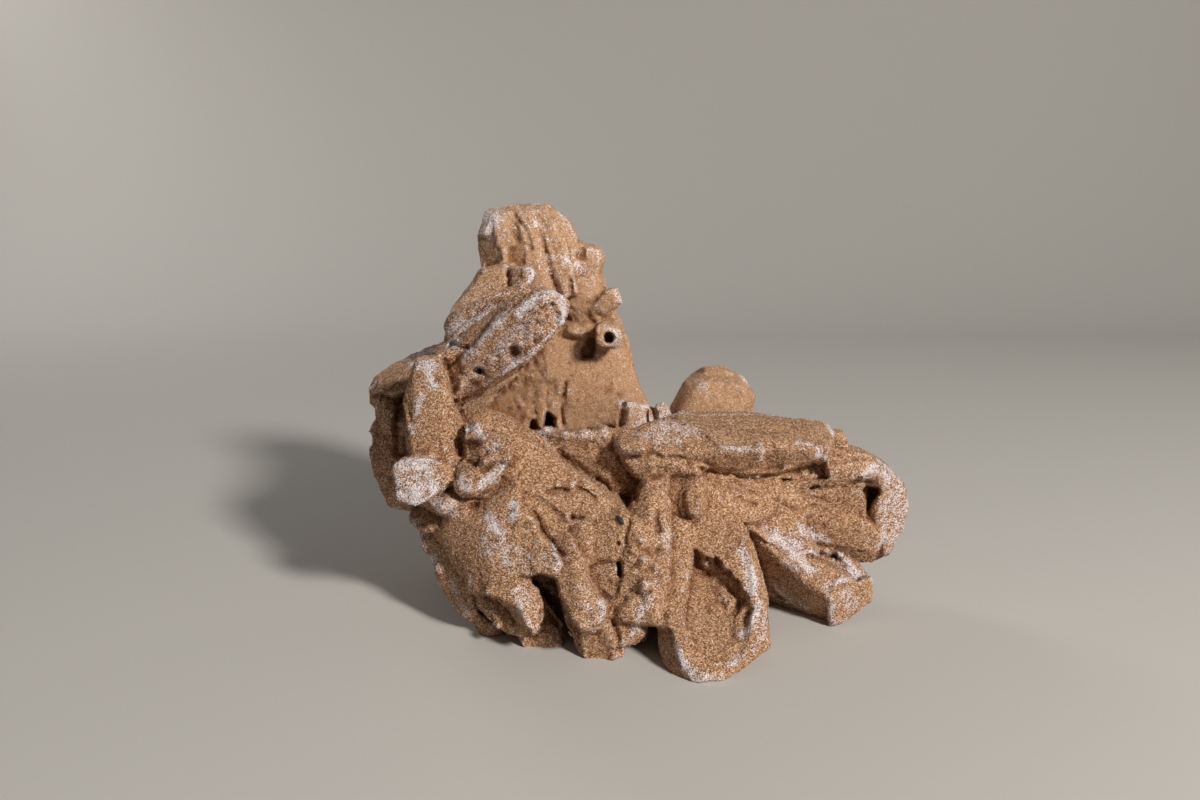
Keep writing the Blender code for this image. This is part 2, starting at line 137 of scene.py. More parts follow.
# Flat faces: outline, width of the edge in pixels, and how far from the eye the face is, in
# millimetres, at three places.
FACES = {
    "peak's left face": (
        ((470, 237), (493, 237), (501, 250), (502, 263), (486, 268), (474, 266)),
        2, ((481, 250, 259.5), (501, 250, 254.4), (490, 238, 257.0))),
    "wall's foot": (
        ((474, 399), (500, 378), (522, 370), (504, 398), (488, 414), (468, 406)),
        2, ((480, 400, 264), (510, 380, 266), (500, 400, 266))),
    "wall's left part": (
        ((480, 396), (500, 374), (520, 360), (545, 345), (547, 384), (546, 400), (544, 428), (530, 440),
         (496, 430), (480, 410)), 3, ((546, 390, 264.3), (496, 400, 270.5), (520, 362, 266.6))),
    "left plate": (
        ((482, 505), (500, 490), (519, 484), (521, 500), (536, 520), (538, 532), (550, 545), (557, 554),
         (562, 563), (560, 571), (553, 575), (541, 573), (531, 574), (516, 576), (520, 600), (523, 618),
         (515, 608), (499, 599), (484, 594), (484, 560)),
        3, ((515, 505, 228), (558, 560, 225.6), (490, 565, 230))),
    "finger's root": (
        ((521, 500), (524, 488), (545, 500), (566, 515), (570, 533), (562, 545), (557, 554), (550, 545),
         (538, 532), (536, 520)), 2, ((530, 505, 229.3), (550, 540, 228.5), (565, 525, 228.8))),
    "shell's right part": (
        ((596, 520), (622, 508), (640, 520), (644, 560), (640, 604), (614, 606), (607, 601), (598, 590),
         (592, 562)), 9, ((600, 550, 227.4), (640, 550, 224.6), (620, 600, 225.4))),
    "long finger": (
        ((557, 578), (556, 566), (562, 563), (557, 554), (550, 544), (568, 533), (583, 561), (588, 583),
         (598, 592), (607, 601), (607, 613), (602, 623), (592, 630), (583, 631), (574, 624), (567, 612),
         (561, 597)), 3, ((565, 545, 227.6), (590, 615, 223), (585, 560, 226.4))),
    "ledge finger's front": (
        ((517, 576), (531, 575), (534, 584), (542, 595), (547, 613), (541, 624), (534, 634), (527, 628),
         (523, 618), (519, 600)), 2, ((519, 590, 228.8), (540, 600, 229.2), (530, 630, 227))),
    "under the fan": (
        ((700, 468), (728, 470), (744, 474), (776, 473), (800, 465), (814, 463), (826, 464), (828, 478),
         (800, 488), (770, 494), (740, 492), (704, 482)),
        5, ((740, 474, 243), (820, 474, 251.5), (780, 494, 246.4))),
    "right body's hollow": (
        ((806, 484), (830, 482), (861, 481), (868, 488), (868, 508), (852, 517), (820, 513), (800, 502)),
        4, ((810, 488, 250.4), (856, 488, 252.8), (830, 514, 254.2))),
    "block's right face": (
        ((433, 459), (450, 463), (456, 474), (454, 484), (441, 491), (440, 478)),
        2, ((434, 475, 228), (455, 475, 229.8), (445, 488, 229))),
    "lower prism": (
        ((463, 463), (470, 465), (475, 472), (474, 489), (466, 494), (457, 490), (455, 480), (459, 468)),
        2, ((457, 478, 227.2), (473, 478, 225.4), (464, 492, 225.2))),
    "broad prism low": (
        ((476, 472), (482, 465), (492, 463), (508, 463), (503, 474), (492, 486), (480, 492), (475, 490)),
        2, ((478, 484, 227.4), (506, 466, 226.6), (484, 470, 227))),
    "broad prism high": (
        ((485, 438), (494, 431), (506, 436), (512, 448), (511, 462), (503, 464), (490, 463), (484, 455)),
        2, ((488, 445, 227.8), (508, 450, 226.2), (495, 460, 226.6))),
    "peak's notch": (
        ((508, 246), (521, 243), (527, 255), (519, 264), (508, 262)),
        4, ((507, 254, 256.6), (523, 254, 254.2), (514, 263, 255.6))),
    "wall beside the rim block": (
        ((552, 396), (600, 394), (626, 398), (624, 432), (590, 434), (556, 432)),
        10, ((560, 415, 264.7), (621, 415, 260.2), (590, 430, 262.4))),
    "beside the thumb": (
        ((437, 354), (446, 372), (451, 393), (460, 400), (463, 388), (462, 372), (458, 358), (448, 348)),
        2, ((442, 360, 234.2), (460, 362, 233.6), (456, 395, 235.2))),
    "wedge": (
        ((556, 448), (572, 443), (606, 442), (612, 446), (620, 458), (629, 472), (640, 481), (636, 500),
         (629, 504), (603, 487), (580, 472), (562, 460)),
        4, ((600, 446, 235.8), (640, 480, 239.9), (630, 502, 243))),
    "recess under the block": (
        ((410, 511), (426, 508), (442, 516), (442, 528), (426, 534), (412, 528)),
        4, ((414, 522, 243.5), (440, 520, 241), (428, 532, 241))),
    "fan's root": (
        ((613, 447), (622, 452), (632, 455), (645, 455), (660, 457), (668, 464), (664, 476), (652, 480),
         (646, 478), (640, 481), (629, 472), (620, 458)),
        2, ((622, 456, 232.9), (660, 460, 232.5), (646, 478, 234.6))),
    "wall's middle": (
        ((542, 382), (556, 380), (557, 400), (560, 412), (558, 418), (553, 415), (548, 412), (544, 414),
         (541, 400)), 5, ((546, 390, 264.9), (556, 390, 264.6), (550, 412, 265.6))),
    "upright prism's face": (
        ((464, 440), (476, 441), (485, 444), (487, 451), (480, 461), (476, 468), (465, 464), (463, 452)),
        2, ((466, 445, 231.8), (484, 446, 227.8), (474, 466, 230.4))),
}

# Raised plates and hollows, cut along the line of sight: outline, width of the edge in pixels,
# and height in millimetres at two places, between which it changes evenly.
PLATES = {
    "slot beside the nub": (
        ((531, 575), (541, 574), (553, 577), (557, 582), (560, 594), (566, 606), (572, 618), (582, 632),
         (578, 640), (568, 628), (559, 618), (551, 606), (543, 596), (539, 588), (532, 584)),
        2, (545, 585, -12), (574, 632, -6)),
    "hollow under the ledge finger": (
        ((471, 593), (484, 594), (497, 600), (508, 608), (516, 618), (524, 628), (536, 636), (530, 640),
         (514, 638), (501, 632), (500, 622), (490, 622), (478, 612), (472, 604)),
        2, (490, 596, -5), (500, 636, -2)),
    "foot": (
        ((584, 640), (600, 634), (620, 640), (622, 652), (604, 660), (588, 658)),
        4, (600, 634, 1.2), (600, 658, -1.6)),
    "hanging finger": (
        ((686, 494), (690, 484), (698, 484), (702, 500), (700, 514), (695, 519), (689, 514)),
        3, (694, 488, 0.2), (696, 512, 1.6)),
    "gap beside the hanging finger": (
        ((681, 500), (685, 503), (690, 517), (687, 520), (683, 512)), 3, (684, 504, -0.8), (688, 516, -1.4)),
    "front blade's left face": (
        ((660, 628), (672, 630), (676, 652), (683, 670), (692, 684), (690, 700), (640, 690), (640, 640)),
        3, (680, 650, -1), (656, 656, -5)),
    "scoop": (
        ((694, 549), (699, 551), (703, 559), (708, 556), (713, 560), (716, 557), (722, 563), (724, 569),
         (730, 570), (733, 577), (738, 580), (741, 588), (746, 592), (747, 600), (741, 607), (736, 618),
         (734, 634), (740, 646), (746, 653), (734, 659), (716, 664), (700, 668), (690, 655), (685, 630),
         (687, 600), (691, 575)), 2, (706, 562, -4.6), (744, 640, 0)),
    "scoop's tooth": (((701, 560), (706, 558), (709, 566), (706, 570)), 3, (704, 560, 2.2), (706, 568, 1)),
    "scoop's second tooth": (
        ((710, 558), (714, 560), (716, 567), (711, 568)), 3, (712, 560, 2.2), (714, 566, 1)),
    "shelf in the scoop": (
        ((712, 578), (722, 584), (736, 600), (728, 610), (718, 598)), 4, (716, 584, 0.4), (728, 604, 1.2)),
    "low block's left face": (
        ((750, 528), (765, 541), (781, 549), (801, 562), (813, 575), (822, 590), (827, 605), (830, 660),
         (806, 670), (740, 660), (744, 570)), 2, (790, 555, 0), (758, 587, -9.5)),
    "pit in the low block": (
        ((806, 554), (820, 557), (834, 554), (846, 565), (856, 575), (842, 579), (822, 581), (812, 570)),
        2, (820, 556, -2.8), (836, 580, -0.2)),
    "fan's lower face": (
        ((684, 444), (712, 441), (730, 446), (752, 450), (765, 447), (800, 443), (826, 447), (823, 462),
         (800, 464), (776, 471), (742, 473), (712, 467), (690, 458)), 2, (750, 446, 0.8), (752, 470, -4.2)),
    "fan's knob": (
        ((612, 434), (630, 430), (642, 436), (645, 450), (636, 455), (622, 452), (614, 444)),
        2, (625, 432, 0.4), (632, 454, 2.0)),
    "fan's upper chip": (
        ((668, 411), (684, 411), (700, 420), (712, 440), (690, 450), (660, 448), (652, 430)),
        8, (680, 412, 0.8), (680, 450, -0.5)),
    "scallop": (
        ((700, 443), (730, 446), (750, 450), (760, 441), (765, 450), (763, 460), (756, 466), (736, 470),
         (712, 464)), 3, (715, 452, 0), (760, 452, 1.6)),
    "right pocket": (
        ((861, 489), (866, 486), (879, 488), (880, 494), (874, 500), (870, 510), (866, 508), (865, 499)),
        2, (868, 488, -6), (868, 508, -5)),
    "right body's lower face": (
        ((806, 504), (826, 514), (846, 518), (872, 521), (881, 540), (884, 570), (858, 580), (820, 560),
         (806, 524)), 5, (860, 523, 0), (836, 562, -7.5)),
    "gap beside the prism": (
        ((454, 440), (460, 437), (463, 441), (463, 455), (458, 458), (454, 452)),
        2, (458, 438, -2), (458, 456, -2)),
    "gap beside the thumb": (
        ((408, 392), (413, 390), (409, 430), (408, 456), (396, 458), (392, 430), (396, 404)),
        5, (410, 400, -3.5), (396, 450, -2)),
    "arm's pitted face": (
        ((456, 392), (470, 370), (486, 354), (505, 337), (528, 317), (551, 305), (559, 312), (558, 328),
         (540, 340), (516, 358), (490, 376), (464, 394)), 4, (460, 390, -1.1), (552, 312, -1.1)),
    "wall hole": (
        ((548, 412), (553, 415), (556, 418), (554, 427), (543, 427), (545, 417)),
        2, (548, 414, -6), (549, 424, -8)),
    "wall hole low": (((529, 422), (535, 420), (539, 429), (528, 430)), 2, (532, 420, -4), (532, 430, -4)),
    "cube's front": (((506, 268), (524, 267), (525, 289), (506, 290)), 3, (524, 276, 0), (509, 276, -1.8)),
    "knob's left gap": (
        ((568, 278), (573, 279), (574, 296), (569, 297)), 3, (571, 280, -1.2), (571, 296, -1.2)),
    "pocket under the tube": (
        ((580, 348), (590, 338), (595, 340), (596, 350), (592, 358), (582, 358)),
        3, (588, 344, -4), (588, 356, -3)),
    "tube hole": (
        ((603, 336), (606, 333), (611, 333), (613, 337), (612, 342), (608, 344), (604, 342)),
        2, (608, 335, -5), (608, 342, -5)),
    "knob hole": (((578, 248), (584, 246), (587, 262), (582, 262)), 3, (582, 250, -1.2), (584, 260, -1.2)),
    "shell pit": (
        ((570, 518), (572, 513), (576, 517), (585, 516), (585, 520), (574, 521)),
        2, (572, 517, -3), (583, 518, -1.5)),
    "hole beside the middle blade": (
        ((617, 562), (622, 561), (623, 578), (618, 576)), 2, (620, 564, -5), (620, 576, -5)),
    "lobe behind the ledge finger": (
        ((541, 610), (546, 606), (553, 614), (561, 624), (568, 634), (570, 650), (556, 664), (530, 664),
         (524, 644), (534, 635), (541, 627)), 3, (545, 612, -3), (550, 650, -2)),
    "recess under the prisms": (
        ((464, 494), (476, 494), (492, 488), (504, 478), (514, 480), (520, 500), (500, 506), (480, 512),
         (466, 508)), 6, (480, 494, -2.2), (500, 508, 0)),
    "block": (
        ((391, 464), (405, 461), (420, 457), (433, 459), (440, 478), (440, 490), (424, 502), (420, 507),
         (408, 506), (398, 503), (394, 488)), 1.5, (410, 462, 1.2), (412, 504, 2.6)),
    "spur": (
        ((425, 503), (441, 491), (452, 494), (460, 502), (455, 513), (448, 517), (438, 513)),
        1.5, (430, 500, 0.2), (450, 512, 2.4)),
    "lobe's recess": (
        ((366, 395), (380, 393), (392, 398), (404, 394), (411, 390), (410, 404), (398, 402), (394, 410),
         (384, 406), (372, 405)), 3, (390, 396, -2.5), (390, 406, -1)),
    "bridge over the pocket": (
        ((861, 478), (872, 473), (885, 477), (882, 486), (864, 486)), 2, (866, 482, 4), (880, 480, 3)),
    "slope below the knobs": (
        ((566, 316), (584, 312), (600, 318), (596, 332), (580, 338), (566, 332)),
        6, (580, 316, 0), (582, 330, 3)),
    "stub's right facet": (
        ((741, 370), (741, 392), (743, 414), (764, 414), (764, 370)), 2, (741, 392, 0.4), (752, 392, -3.5)),
    "stub's left facet": (
        ((660, 420), (668, 396), (680, 376), (690, 380), (682, 396), (676, 420)),
        2, (686, 398, 0), (670, 398, -3)),
    "stub's top": (
        ((680, 370), (684, 386), (700, 381), (722, 381), (741, 385), (756, 378), (740, 366)),
        2, (712, 384, 0), (712, 376, -3)),
    "cube": (
        ((510, 268), (522, 264), (535, 266), (535, 277), (529, 287), (510, 289)),
        1.5, (520, 266, 2), (520, 286, 2.6)),
    "finger": (
        ((590, 309), (606, 291), (616, 284), (630, 290), (626, 300), (613, 312), (600, 320), (592, 320)),
        2, (598, 314, 0.8), (618, 294, 3.0)),
    "fan's end": (
        ((770, 442), (800, 443), (826, 447), (824, 461), (800, 464), (778, 471)),
        3, (772, 455, -0.6), (822, 452, 1.0)),
    "arm's face tilt": (
        ((451, 397), (470, 369), (486, 352), (505, 335), (528, 316), (551, 302), (567, 305), (566, 334),
         (540, 352), (515, 368), (490, 383), (456, 402)), 2, (504, 332, 0), (522, 364, 3.0)),
    "white chip": (
        ((506, 518), (511, 511), (519, 502), (520, 519), (512, 520)), 1.5, (508, 514, 0.3), (518, 512, 0.9)),
    "sandy recess": (
        ((588, 566), (600, 560), (617, 562), (622, 580), (618, 598), (608, 602), (598, 590), (590, 580)),
        3, (596, 564, -1.8), (610, 598, -0.8)),
    "gap behind the thumb": (
        ((452, 397), (458, 399), (464, 406), (461, 415), (456, 412)), 2, (456, 400, -7), (460, 412, -5)),
    "fold one": (
        ((384, 399), (393, 399), (395, 415), (392, 430), (386, 430), (383, 415)),
        2, (388, 400, 1.4), (389, 428, 2.2)),
    "fold two": (
        ((398, 411), (406, 411), (409, 424), (407, 434), (401, 434), (398, 424)),
        2, (402, 412, 1.4), (403, 432, 2)),
    "low block's notch": (
        ((806, 556), (820, 552), (836, 553), (838, 560), (820, 561)),
        1.5, (812, 555, -2.4), (834, 557, -1.6)),
    "gap between the broad prisms": (
        ((480, 470), (492, 462), (504, 461), (504, 465), (494, 466), (483, 474)),
        1.5, (482, 472, -1.4), (502, 463, -1)),
    "recess under the prisms edge": (
        ((440, 518), (455, 517), (468, 504), (480, 500), (476, 512), (462, 522)),
        4, (446, 514, -1.2), (462, 522, -1.2)),
    "right lip": (
        ((800, 468), (826, 466), (846, 462), (862, 462), (866, 476), (861, 479), (838, 485), (812, 485),
         (802, 480)), 3, (808, 476, 1.4), (862, 476, 0.4)),
    "nub": (
        ((531, 540), (538, 531), (550, 544), (558, 555), (562, 564), (558, 573), (545, 575), (534, 572),
         (530, 560)), 3, (536, 545, 0.2), (554, 568, 1.3)),
}

# Steps in a face, with the high side on the left hand: course, rise and drop in millimetres,
# and reach in pixels.
LEDGES = {
    "long finger": (
        ((606, 604), (592, 590), (588, 578), (584, 560), (576, 545), (568, 530), (570, 520)), 0.3, 1.9, 12),
    "shell crack left": (((545, 491), (556, 487), (566, 488), (573, 489)), 0.5, 2.0, 8),
    "shell crack right": (((575, 486), (587, 489), (598, 498)), 0.4, 1.8, 7),
    "curved rim": (((571, 492), (577, 482), (576, 472), (568, 464)), 0.7, 1.0, 8),
    "chip at the ridge": (((612, 497), (604, 484), (592, 478)), 0.2, 1.2, 6),
    "arm's cap": (
        ((462, 380), (470, 368), (486, 352), (505, 335), (528, 316), (551, 303), (560, 308), (563, 322),
         (560, 334)), 0.5, 0.6, 12),
    "arm over the second blade": (
        ((446, 374), (462, 356), (480, 338), (496, 316), (512, 310), (534, 292), (560, 287)), -1.9, -0.6, 12),
    "second blade": (((450, 336), (462, 325), (486, 311), (508, 302)), -1.1, -0.5, 11),
    "second blade's end": (((452, 340), (462, 346), (474, 346)), 0.5, 1.6, 6),
    "third block": (((446, 366), (438, 352), (450, 342), (460, 342)), 1.4, 1.0, 7),
    "block's right edge": (((430, 500), (441, 492), (452, 480), (455, 466)), 0.3, 2.4, 10),
    "block's crack": (((394, 486), (400, 489), (404, 492)), 0.2, 1.0, 4),
    "wedge rim": (((536, 430), (548, 436), (570, 441), (590, 440), (612, 439)), 0.2, 0.3, 10),
    "rim break": (((566, 430), (570, 441)), 0.2, 0.8, 5),
    "fan's edge": (
        ((642, 454), (656, 452), (664, 456), (680, 455), (694, 460), (706, 461), (722, 469)), 0.3, 1.2, 14),
    "fan's knob edge": (((613, 438), (620, 450), (632, 454), (643, 453)), 0.5, 1.5, 12),
    "diagonal ridge": (
        ((671, 411), (684, 423), (698, 430), (712, 440), (730, 446), (752, 450)), 0.9, 0.7, 10),
    "ledge above the right blades": (((734, 492), (748, 500), (760, 504)), 0.3, 0.9, 8),
    "second ledge above": (((770, 496), (784, 501), (796, 510), (806, 513)), 0.3, 0.9, 8),
    "third ledge above": (((798, 504), (812, 510), (830, 515), (846, 520)), 0.3, 0.8, 8),
    "low block's rim": (((780, 540), (800, 546), (816, 550), (836, 552)), 0.8, 0.6, 7),
    "low block's end": (((829, 606), (830, 590), (836, 580), (852, 576), (866, 578)), -0.4, -0.8, 8),
    "bump's crack": (((830, 450), (838, 453), (844, 452)), 0.3, 0.8, 5),
    "front blade's rim": (((748, 606), (752, 590), (750, 570), (744, 552), (738, 532)), -0.4, -0.6, 9),
    "thumb crack": (((428, 435), (440, 440), (450, 438)), 0.2, 0.6, 5),
    "block over the recess": (((394, 504), (410, 508), (426, 505)), 0.6, 1.6, 8),
    "shell ridge": (
        ((628, 507), (614, 502), (602, 488), (590, 479), (575, 468), (556, 454), (530, 440), (500, 418),
         (480, 402)), 0.2, 1.6, 10),
    "scallop's end": (((754, 466), (763, 460), (766, 450), (761, 440)), 0.5, 1.6, 12),
    "shoulder's lower edge": (((366, 393), (380, 392), (392, 397), (403, 392), (413, 386)), 0.4, 2.0, 14),
    "middle blade step one": (((664, 544), (652, 552), (642, 548), (636, 556)), -1.2, -0.2, 6),
    "middle blade step two": (((656, 566), (644, 570), (634, 564), (628, 572)), -1.2, -0.2, 6),
    "middle blade step three": (((656, 588), (640, 594), (628, 588)), -1.0, -0.2, 6),
    "thumb's right edge": (((466, 432), (461, 416), (453, 401), (448, 379), (438, 362)), 0.6, 2.4, 13),
    "fourth ledge above": (((748, 486), (764, 492), (776, 500)), 0.3, 0.7, 7),
}

# Grooves and cracks: course, width and depth in millimetres.
GROOVES = {
    "wall thin crack": (((567, 378), (561, 402), (562, 428)), 0.35, 1.8),
    "crack beside the middle blade": (
        ((628, 506), (632, 514), (627, 530), (624, 544), (619, 556)), 0.35, 1.5),
    "groove in the middle blade": (((657, 508), (656, 520), (660, 538)), 0.7, 2.1),
    "prism groove": (((482, 472), (494, 464), (507, 461)), 0.4, 1.2),
    "wedge fold": (((611, 443), (620, 460), (630, 475), (640, 484)), 0.6, 1.5),
    "peak line one": (((509, 206), (520, 222), (528, 236), (533, 252)), 0.35, 0.5),
    "peak line two": (((519, 204), (531, 224), (539, 242)), 0.3, 0.4),
    "peak line three": (((532, 206), (545, 226), (553, 246), (556, 258)), 0.35, 0.6),
    "peak line four": (((545, 208), (557, 226), (566, 250)), 0.3, 0.35),
    "peak line five": (((499, 212), (510, 230), (518, 242)), 0.3, 0.35),
    "slope line": (((540, 262), (556, 284), (566, 300)), 0.4, 0.4),
    "fan upper line": (((700, 418), (740, 428), (790, 432)), 0.5, 0.3),
    "scoop shelf line": (((719, 600), (724, 605), (730, 610)), 0.35, 1.0),
    "scoop old line": (((706, 602), (708, 612), (712, 620)), 0.4, 0.6),
    "lobe fold": (((396, 400), (398, 414), (396, 432)), 0.8, 1.2),
    "peak line six": (((512, 208), (524, 230), (534, 262)), 0.25, 0.35),
    "peak line seven": (((526, 205), (538, 226), (548, 256)), 0.25, 0.35),
    "peak line eight": (((539, 207), (552, 228), (561, 252)), 0.25, 0.3),
    "wall crack top": (((548, 388), (546, 400), (549, 416)), 0.2, 0.8),
    "between the prisms": (((489, 450), (483, 457), (478, 465), (475, 472)), 0.4, 2.6),
    "above the lower prism": (((455, 464), (464, 461), (474, 463)), 0.35, 1.6),
    "left plate's edge": (((521, 500), (525, 509), (540, 521), (542, 531), (554, 543), (564, 557)), 0.6, 1.8),
    "beside the lower prism": (((475, 472), (475, 482), (473, 492)), 0.35, 2),
    "long finger's back": (((567, 532), (574, 556), (577, 584), (586, 612)), 2.2, -1.5),
    "block's top edge": (((430, 457), (441, 460), (452, 466), (457, 472)), 0.3, 1.4),
    "foot fold": (((611, 616), (617, 634), (619, 652)), 0.5, 2),
}

# Small holes: place, radius and depth in millimetres.
HOLES = {
    "arm hole low": ((480, 371), 0.8, 2.8),
    "arm tip hole": ((553, 305), 0.6, 1.4),
    "shoulder hole": ((386, 390), 0.7, 1.4),
    "rim hole": ((674, 417), 0.6, 1.2),
    "rim hole small": ((621, 426), 0.35, 0.8),
    "middle hole small": ((618, 543), 0.45, 2),
    "right dot": ((838, 500), 0.3, 0.8),
    "arm pit 1": ((498, 357), 0.5, 1.1),
    "arm pit 2": ((508, 353), 0.5, 0.8),
    "arm pit 3": ((523, 339), 0.5, 0.8),
    "arm pit 4": ((538, 322), 0.6, 1.2),
    "arm pit 5": ((546, 316), 0.5, 1.1),
    "arm pit 6": ((548, 326), 0.45, 1),
    "arm pit 8": ((503, 342), 0.45, 0.9),
    "arm pit 10": ((534, 341), 0.45, 0.9),
}

# Where the carved form is smoothed again: outline, and how many times.
SOFTENED = {
    "shell's left side": (
        ((446, 512), (474, 508), (492, 500), (498, 520), (496, 560), (490, 590), (472, 588), (446, 560)), 70),
    "right body": (((800, 490), (830, 500), (862, 500), (872, 516), (860, 530), (826, 522), (804, 512)), 40),
    "under the fan": (
        ((700, 474), (740, 480), (800, 476), (826, 474), (820, 492), (770, 500), (704, 488)), 30),
    "peak": (((500, 236), (530, 240), (532, 262), (504, 262)), 8),
    "wall": (((556, 396), (612, 396), (614, 430), (570, 430)), 30),
}

# Where the surface is coarse: outline, and height of the lumps in millimetres.
COARSE = {
    "wedge": (((540, 440), (612, 440), (646, 480), (634, 504), (604, 490), (560, 462)), 0.6),
    "middle blade": (((622, 540), (664, 540), (656, 616), (626, 604)), 1.3),
    "sand shelf": (((590, 540), (624, 545), (620, 600), (594, 590)), 0.7),
    "arm's face": (((456, 392), (486, 354), (551, 303), (560, 328), (490, 378)), 0.9),
    "wall under the arm": (((470, 398), (540, 354), (545, 420), (520, 426), (490, 408)), 0.7),
    "under the fan": (((642, 456), (700, 463), (720, 470), (730, 480), (690, 482), (650, 474)), 1.3),
    "right blade roots": (((690, 478), (760, 484), (830, 520), (780, 520), (700, 500)), 0.9),
    "scoop": (((690, 600), (740, 610), (740, 650), (700, 664)), 0.3),
    "shell root": (((466, 490), (520, 480), (520, 500), (480, 512)), 0.5),
    "left lobe": (((356, 380), (404, 394), (404, 456), (392, 510), (366, 450)), 1.0),
    "ledge finger's lobe": (((536, 610), (552, 614), (570, 640), (560, 660), (530, 655)), 0.9),
    "hollow below": (((470, 594), (500, 602), (520, 626), (510, 640), (480, 625)), 0.7),
    "block": (((392, 464), (450, 462), (440, 494), (396, 504)), 0.3),
    "wedge rim": (((536, 424), (570, 430), (614, 426), (614, 444), (570, 446), (540, 442)), 1.1),
}

# Rounded lumps that stand out from the surface: place, radius and height in millimetres.
LUMPS = {
    "left scallop one": ((371, 402), 2.4, 0.7),
    "left scallop two": ((370, 428), 2.6, 0.9),
    "left scallop three": ((373, 452), 2.2, 0.6),
    "left scallop four": ((379, 476), 2.4, 0.6),
    "nodule one": ((632, 548), 1.6, 1.0),
    "nodule two": ((643, 560), 1.6, 1.0),
    "nodule three": ((631, 572), 1.4, 0.9),
    "nodule four": ((645, 584), 1.8, 1.0),
    "nodule five": ((634, 598), 1.6, 0.9),
    "nodule six": ((652, 566), 1.4, 0.8),
    "middle blade's head": ((652, 498), 1.8, 0.9),
    "hem lump one": ((414, 520), 3, 1.4),
    "hem lump two": ((424, 545), 3, 1.2),
    "hem lump three": ((440, 570), 2.4, 0.9),
    "rim lump one": ((548, 432), 2.6, 1.2),
    "rim lump two": ((565, 435), 2.4, 0.8),
    "rim lump three": ((582, 433), 2.6, 1),
    "rim lump four": ((603, 430), 3, 1.4),
    "low lobe one": ((490, 628), 2.8, 1.2),
    "low lobe two": ((548, 634), 3.2, 1.3),
}

